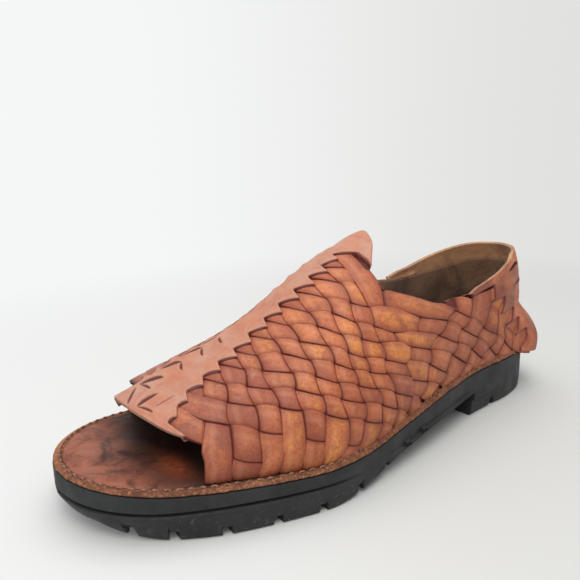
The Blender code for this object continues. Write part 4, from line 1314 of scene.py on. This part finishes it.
class HuaracheColours(bpy.types.PropertyGroup):
    """Colours of the leathers, rubber and thread."""
    strip_rose: colour_prop("Strip rose", "Pinkish brown of some strips", (0.33, 0.086, 0.047))
    strip_tan: colour_prop("Strip tan", "Light tan of most strips", (0.48, 0.145, 0.056))
    strip_gold: colour_prop("Strip gold", "Golden worn middle of a strip", (0.62, 0.232, 0.050))
    # Colour of the painted highlight on each strip's middle.
    strip_highlight: colour_prop("Strip pale", "Pale rubbed middle of a strip", (0.56, 0.25, 0.135))
    strip_deep: colour_prop("Strip deep", "Deeper brown in the leather", (0.17, 0.034, 0.016))
    strip_plum: colour_prop("Strip plum", "Dull plum brown of worn strips", (0.19, 0.052, 0.034))
    # Also used for painted shade in slits, along cut edges and over the lower strips.
    strip_edge_and_shade: colour_prop("Strip edge", "Dark red-brown of edges and slits", (0.085, 0.010, 0.006))
    band_pale: colour_prop("Band pale", "Pale tan of the band", (0.40, 0.205, 0.140))
    band_tan: colour_prop("Band tan", "Warmer tan of the band", (0.41, 0.165, 0.095))
    rim_dark: colour_prop("Rim dark", "Dark brown of the rim", (0.060, 0.022, 0.014))
    rim_brown: colour_prop("Rim brown", "Brown of the rim", (0.17, 0.065, 0.038))
    rim_worn: colour_prop("Rim worn", "Orange where the rim is rubbed", (0.42, 0.17, 0.075))
    bed_dark: colour_prop("Footbed dark", "Dark stains of the footbed", (0.034, 0.013, 0.010))
    bed_brown: colour_prop("Footbed brown", "Brown of the footbed", (0.17, 0.038, 0.018))
    bed_dust: colour_prop("Footbed dust", "Dusty toe of the footbed", (0.29, 0.095, 0.056))
    bed_warm: colour_prop("Footbed warm", "Rubbed red patch of the footbed", (0.40, 0.085, 0.028))
    rubber_dark: colour_prop("Rubber dark", "Darker rubber", (0.010, 0.011, 0.011))
    rubber_grey: colour_prop("Rubber grey", "Lighter rubber", (0.018, 0.0195, 0.0195))
    thread_rose: colour_prop("Thread", "Thread where light falls", (0.30, 0.14, 0.10))
    thread_shade: colour_prop("Thread shade", "Thread between its twists", (0.12, 0.04, 0.025))
    heel_nap: colour_prop("Heel nap", "Inner side of the heel leather", (0.46, 0.235, 0.115))
    heel_nap_deep: colour_prop("Heel nap deep", "Darker inner side", (0.22, 0.105, 0.055))
    floor_pale: colour_prop("Floor", "Pale floor round the shoe", (0.585, 0.588, 0.585))
    floor_shade: colour_prop("Floor shade", "Floor towards the picture's right", (0.50, 0.50, 0.49))
    backdrop: colour_prop("Backdrop", "Pale backdrop that lights the shoe", (0.965, 0.978, 0.975))
    backdrop_shade: colour_prop("Backdrop shade", "Backdrop at the picture's right", (0.79, 0.795, 0.775))


class Look:
    """Sizes and colours read once from the scene."""

    def __init__(self, scene):
        for group in (scene.huarache_sizes, scene.huarache_colours):
            for key in group.__annotations__:
                value = getattr(group, key)
                setattr(self, key, value if isinstance(value, float) else tuple(value))


class OBJECT_OT_huarache_sole(bpy.types.Operator):
    """Build the moulded rubber unit"""
    bl_idname = "object.huarache_sole"
    bl_label = "Rubber sole"

    def execute(self, context):
        look = Look(context.scene)
        obj = rubber_unit(moulded_rubber(look))
        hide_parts("outsole")
        return {"FINISHED"}


class OBJECT_OT_huarache_rim(bpy.types.Operator):
    """Build the leather rim and its seam"""
    bl_idname = "object.huarache_rim"
    bl_label = "Rim and stitches"

    def execute(self, context):
        look = Look(context.scene)
        obj = rim_piece(rim_leather(look))
        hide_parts("leather_rim")
        seam_stitches(look, thread(look))
        return {"FINISHED"}


class OBJECT_OT_huarache_footbed(bpy.types.Operator):
    """Build the worn footbed"""
    bl_idname = "object.huarache_footbed"
    bl_label = "Footbed"

    def execute(self, context):
        look = Look(context.scene)
        obj = footbed_piece(footbed_leather(look))
        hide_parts("insole")
        return {"FINISHED"}


class OBJECT_OT_huarache_weave(bpy.types.Operator):
    """Weave the strips of both sides and line the wall"""
    bl_idname = "object.huarache_weave"
    bl_label = "Woven strips"

    def execute(self, context):
        look = Look(context.scene)
        mat = woven_leather(look)
        for side, word in ((1, "outer"), (-1, "inner")):
            for strips, kind in ((cross_strips(side, look), "cross"), (long_strips(side, look), "long")):
                verts, faces, weave, tint = gather(strips)
                obj = add_mesh("%s_%s_strips" % (word, kind), verts, faces, [mat])
                paint(obj, "weave", "CORNER", weave)
                paint(obj, "tint", "CORNER", tint)
                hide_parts("upper")
        lining = lining_piece(look, napped_leather("wall_nap", *WALL_NAP))
        return {"FINISHED"}


class OBJECT_OT_huarache_band(bpy.types.Operator):
    """Build the smooth centre band with its slits and tongue"""
    bl_idname = "object.huarache_band"
    bl_label = "Centre band"

    def execute(self, context):
        look = Look(context.scene)
        face = sheet_leather("band_leather", look, look.band_pale, look.band_tan, look.strip_rose)
        back = napped_leather("band_nap", *BAND_NAP)
        obj = band_piece(look, [face, back])
        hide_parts("vamp_band")
        return {"FINISHED"}


class OBJECT_OT_huarache_heel(bpy.types.Operator):
    """Build the heel leather with its toothed front and flared lower edge"""
    bl_idname = "object.huarache_heel"
    bl_label = "Heel piece"

    def execute(self, context):
        look = Look(context.scene)
        face = sheet_leather("heel_leather", look, look.strip_tan, look.strip_plum, look.strip_deep)
        back = napped_leather("heel_nap", look.heel_nap, look.heel_nap_deep)
        obj = heel_piece(look, face, back)
        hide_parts("heel_counter")
        return {"FINISHED"}


# The photograph's camera: its place, its turns in radians, its focal length and the picture's width in pixels
PLACE = (0.33481238 - HEEL_CENTRE, 0.24106769, 0.14631763)
YAW, PITCH, ROLL = -2.16283873, -0.21801236, -0.02734253
FOCAL, PICTURE = 594.87323, 580.0
SENSOR = 36.0
# The way to the picture's right, and the shares of it over which the backdrop's shade grows
RIGHTWARD = (-0.830, 0.557, 0.0)
SHADE_FROM, SHADE_TO = -0.3, 0.5
# The floor: half its side, and the distances over which it passes into the backdrop's glow
FLOOR_HALF = 60.0
FADE_FROM, FADE_TO = 0.16, 0.60
GLOW = 0.95
# Soft lights: name, place, size, power, colour; all aim at one point
LIGHTS = [("key", (0.50, 0.60, 1.10), 0.6, 8.0, (1.0, 0.98, 0.95)),
          ("top", (0.00, -0.10, 1.2), 0.9, 6.0, (0.98, 0.99, 1.0))]
LIGHT_AIM = (0.10, 0.0, 0.03)


def side_shade(n, vector, start):
    """Shade of the backdrop, growing towards the picture's right."""
    away = n.node("VectorMath", {0: vector, 1: start}, operation="SUBTRACT").outputs[0]
    unit = n.node("VectorMath", {0: away}, operation="NORMALIZE").outputs[0]
    along = n.node("VectorMath", {0: unit, 1: RIGHTWARD}, operation="DOT_PRODUCT").outputs["Value"]
    return n.ramp(along, SHADE_FROM, SHADE_TO)


class OBJECT_OT_huarache_stage(bpy.types.Operator):
    """Set the pale floor, the soft lights and the camera"""
    bl_idname = "object.huarache_stage"
    bl_label = "Floor, lights and camera"

    def execute(self, context):
        look = Look(context.scene)
        scene = context.scene
        mesh = bpy.data.meshes.new("pale_floor")
        corners = [(x * FLOOR_HALF, y * FLOOR_HALF, 0) for x, y in ((-1, -1), (1, -1), (1, 1), (-1, 1))]
        mesh.from_pydata(corners, [], [(0, 1, 2, 3)])
        floor = bpy.data.objects.new("pale_floor", mesh)
        scene.collection.objects.link(floor)
        t = Tree("pale_floor")
        away = t.node("VectorMath", {0: t.coord}, operation="LENGTH").outputs["Value"]
        shade = side_shade(t, t.coord, PLACE)
        glow = t.node("Emission", {"Color": t.mix(shade, look.backdrop, look.backdrop_shade), "Strength": GLOW})
        fade = t.ramp(away, FADE_FROM, FADE_TO)
        blend = t.node("MixShader", {0: fade, 1: t.bsdf.outputs[0], 2: glow.outputs[0]})
        t.put(t.nt.nodes["Material Output"].inputs["Surface"], blend.outputs[0])
        mesh.materials.append(t.finish(t.mix(shade, look.floor_pale, look.floor_shade), 0.7, 0.2))
        world = bpy.data.worlds.new("soft_light")
        world.use_nodes = True
        w = Nodes(world.node_tree)
        shade = side_shade(w, w.node("TexCoord", {}).outputs["Generated"], (0.0, 0.0, 0.0))
        sky = w.nt.nodes["Background"]
        w.put(sky.inputs[0], w.mix(shade, look.backdrop, look.backdrop_shade))
        w.put(sky.inputs[1], GLOW)
        scene.world = world
        for light in LIGHTS:
            self.add_light(scene, *light)
        cam = bpy.data.cameras.new("camera")
        obj = bpy.data.objects.new("camera", cam)
        scene.collection.objects.link(obj)
        cam.sensor_width = SENSOR
        cam.lens = FOCAL / PICTURE * SENSOR
        cam.clip_start, cam.clip_end = 0.01, 50.0
        ahead = Vector((math.cos(PITCH) * math.cos(YAW), math.cos(PITCH) * math.sin(YAW), math.sin(PITCH)))
        right = ahead.cross(Vector((0, 0, 1))).normalized()
        up = right.cross(ahead)
        turned_right = math.cos(ROLL) * right + math.sin(ROLL) * up
        turned_up = -math.sin(ROLL) * right + math.cos(ROLL) * up
        place = Matrix((turned_right, turned_up, -ahead)).transposed().to_4x4()
        place.translation = Vector(PLACE)
        obj.matrix_world = place
        scene.camera = obj
        scene.view_settings.view_transform = "Standard"
        scene.view_settings.look = "None"
        return {"FINISHED"}

    def add_light(self, scene, name, where, size, power, colour):
        """Square soft light aimed at the shoe."""
        data = bpy.data.lights.new(name, "AREA")
        data.shape = "SQUARE"
        data.size = size
        data.energy = power
        data.color = colour
        obj = bpy.data.objects.new(name, data)
        scene.collection.objects.link(obj)
        obj.location = where
        way = Vector(LIGHT_AIM) - Vector(where)
        obj.rotation_euler = way.to_track_quat("-Z", "Y").to_euler()


class VIEW3D_PT_huarache(bpy.types.Panel):
    """Lists the pieces of the huarache"""
    bl_label = "Huarache"
    bl_idname = "VIEW3D_PT_huarache"
    bl_space_type = "VIEW_3D"
    bl_region_type = "UI"
    bl_category = "Huarache"

    def draw(self, context):
        layout = self.layout
        for group in (context.scene.huarache_sizes, context.scene.huarache_colours):
            for key in group.__annotations__:
                layout.prop(group, key)
        for op in OPERATORS:
            layout.operator(op.bl_idname)


OPERATORS = [
    OBJECT_OT_huarache_sole, OBJECT_OT_huarache_rim, OBJECT_OT_huarache_footbed,
    OBJECT_OT_huarache_weave, OBJECT_OT_huarache_band, OBJECT_OT_huarache_heel,
    OBJECT_OT_huarache_stage,
]
CLASSES = [HuaracheSizes, HuaracheColours] + OPERATORS + [VIEW3D_PT_huarache]


def register():
    for cls in CLASSES:
        bpy.utils.register_class(cls)
    bpy.types.Scene.huarache_sizes = bpy.props.PointerProperty(type=HuaracheSizes)
    bpy.types.Scene.huarache_colours = bpy.props.PointerProperty(type=HuaracheColours)


def unregister():
    del bpy.types.Scene.huarache_sizes
    del bpy.types.Scene.huarache_colours
    for cls in reversed(CLASSES):
        bpy.utils.unregister_class(cls)


def main():
    register()
    bpy.ops.object.huarache_sole()
    bpy.ops.object.huarache_rim()
    bpy.ops.object.huarache_footbed()
    bpy.ops.object.huarache_weave()
    bpy.ops.object.huarache_band()
    bpy.ops.object.huarache_heel()
    bpy.ops.object.huarache_stage()


if __name__ == "__main__":
    main()
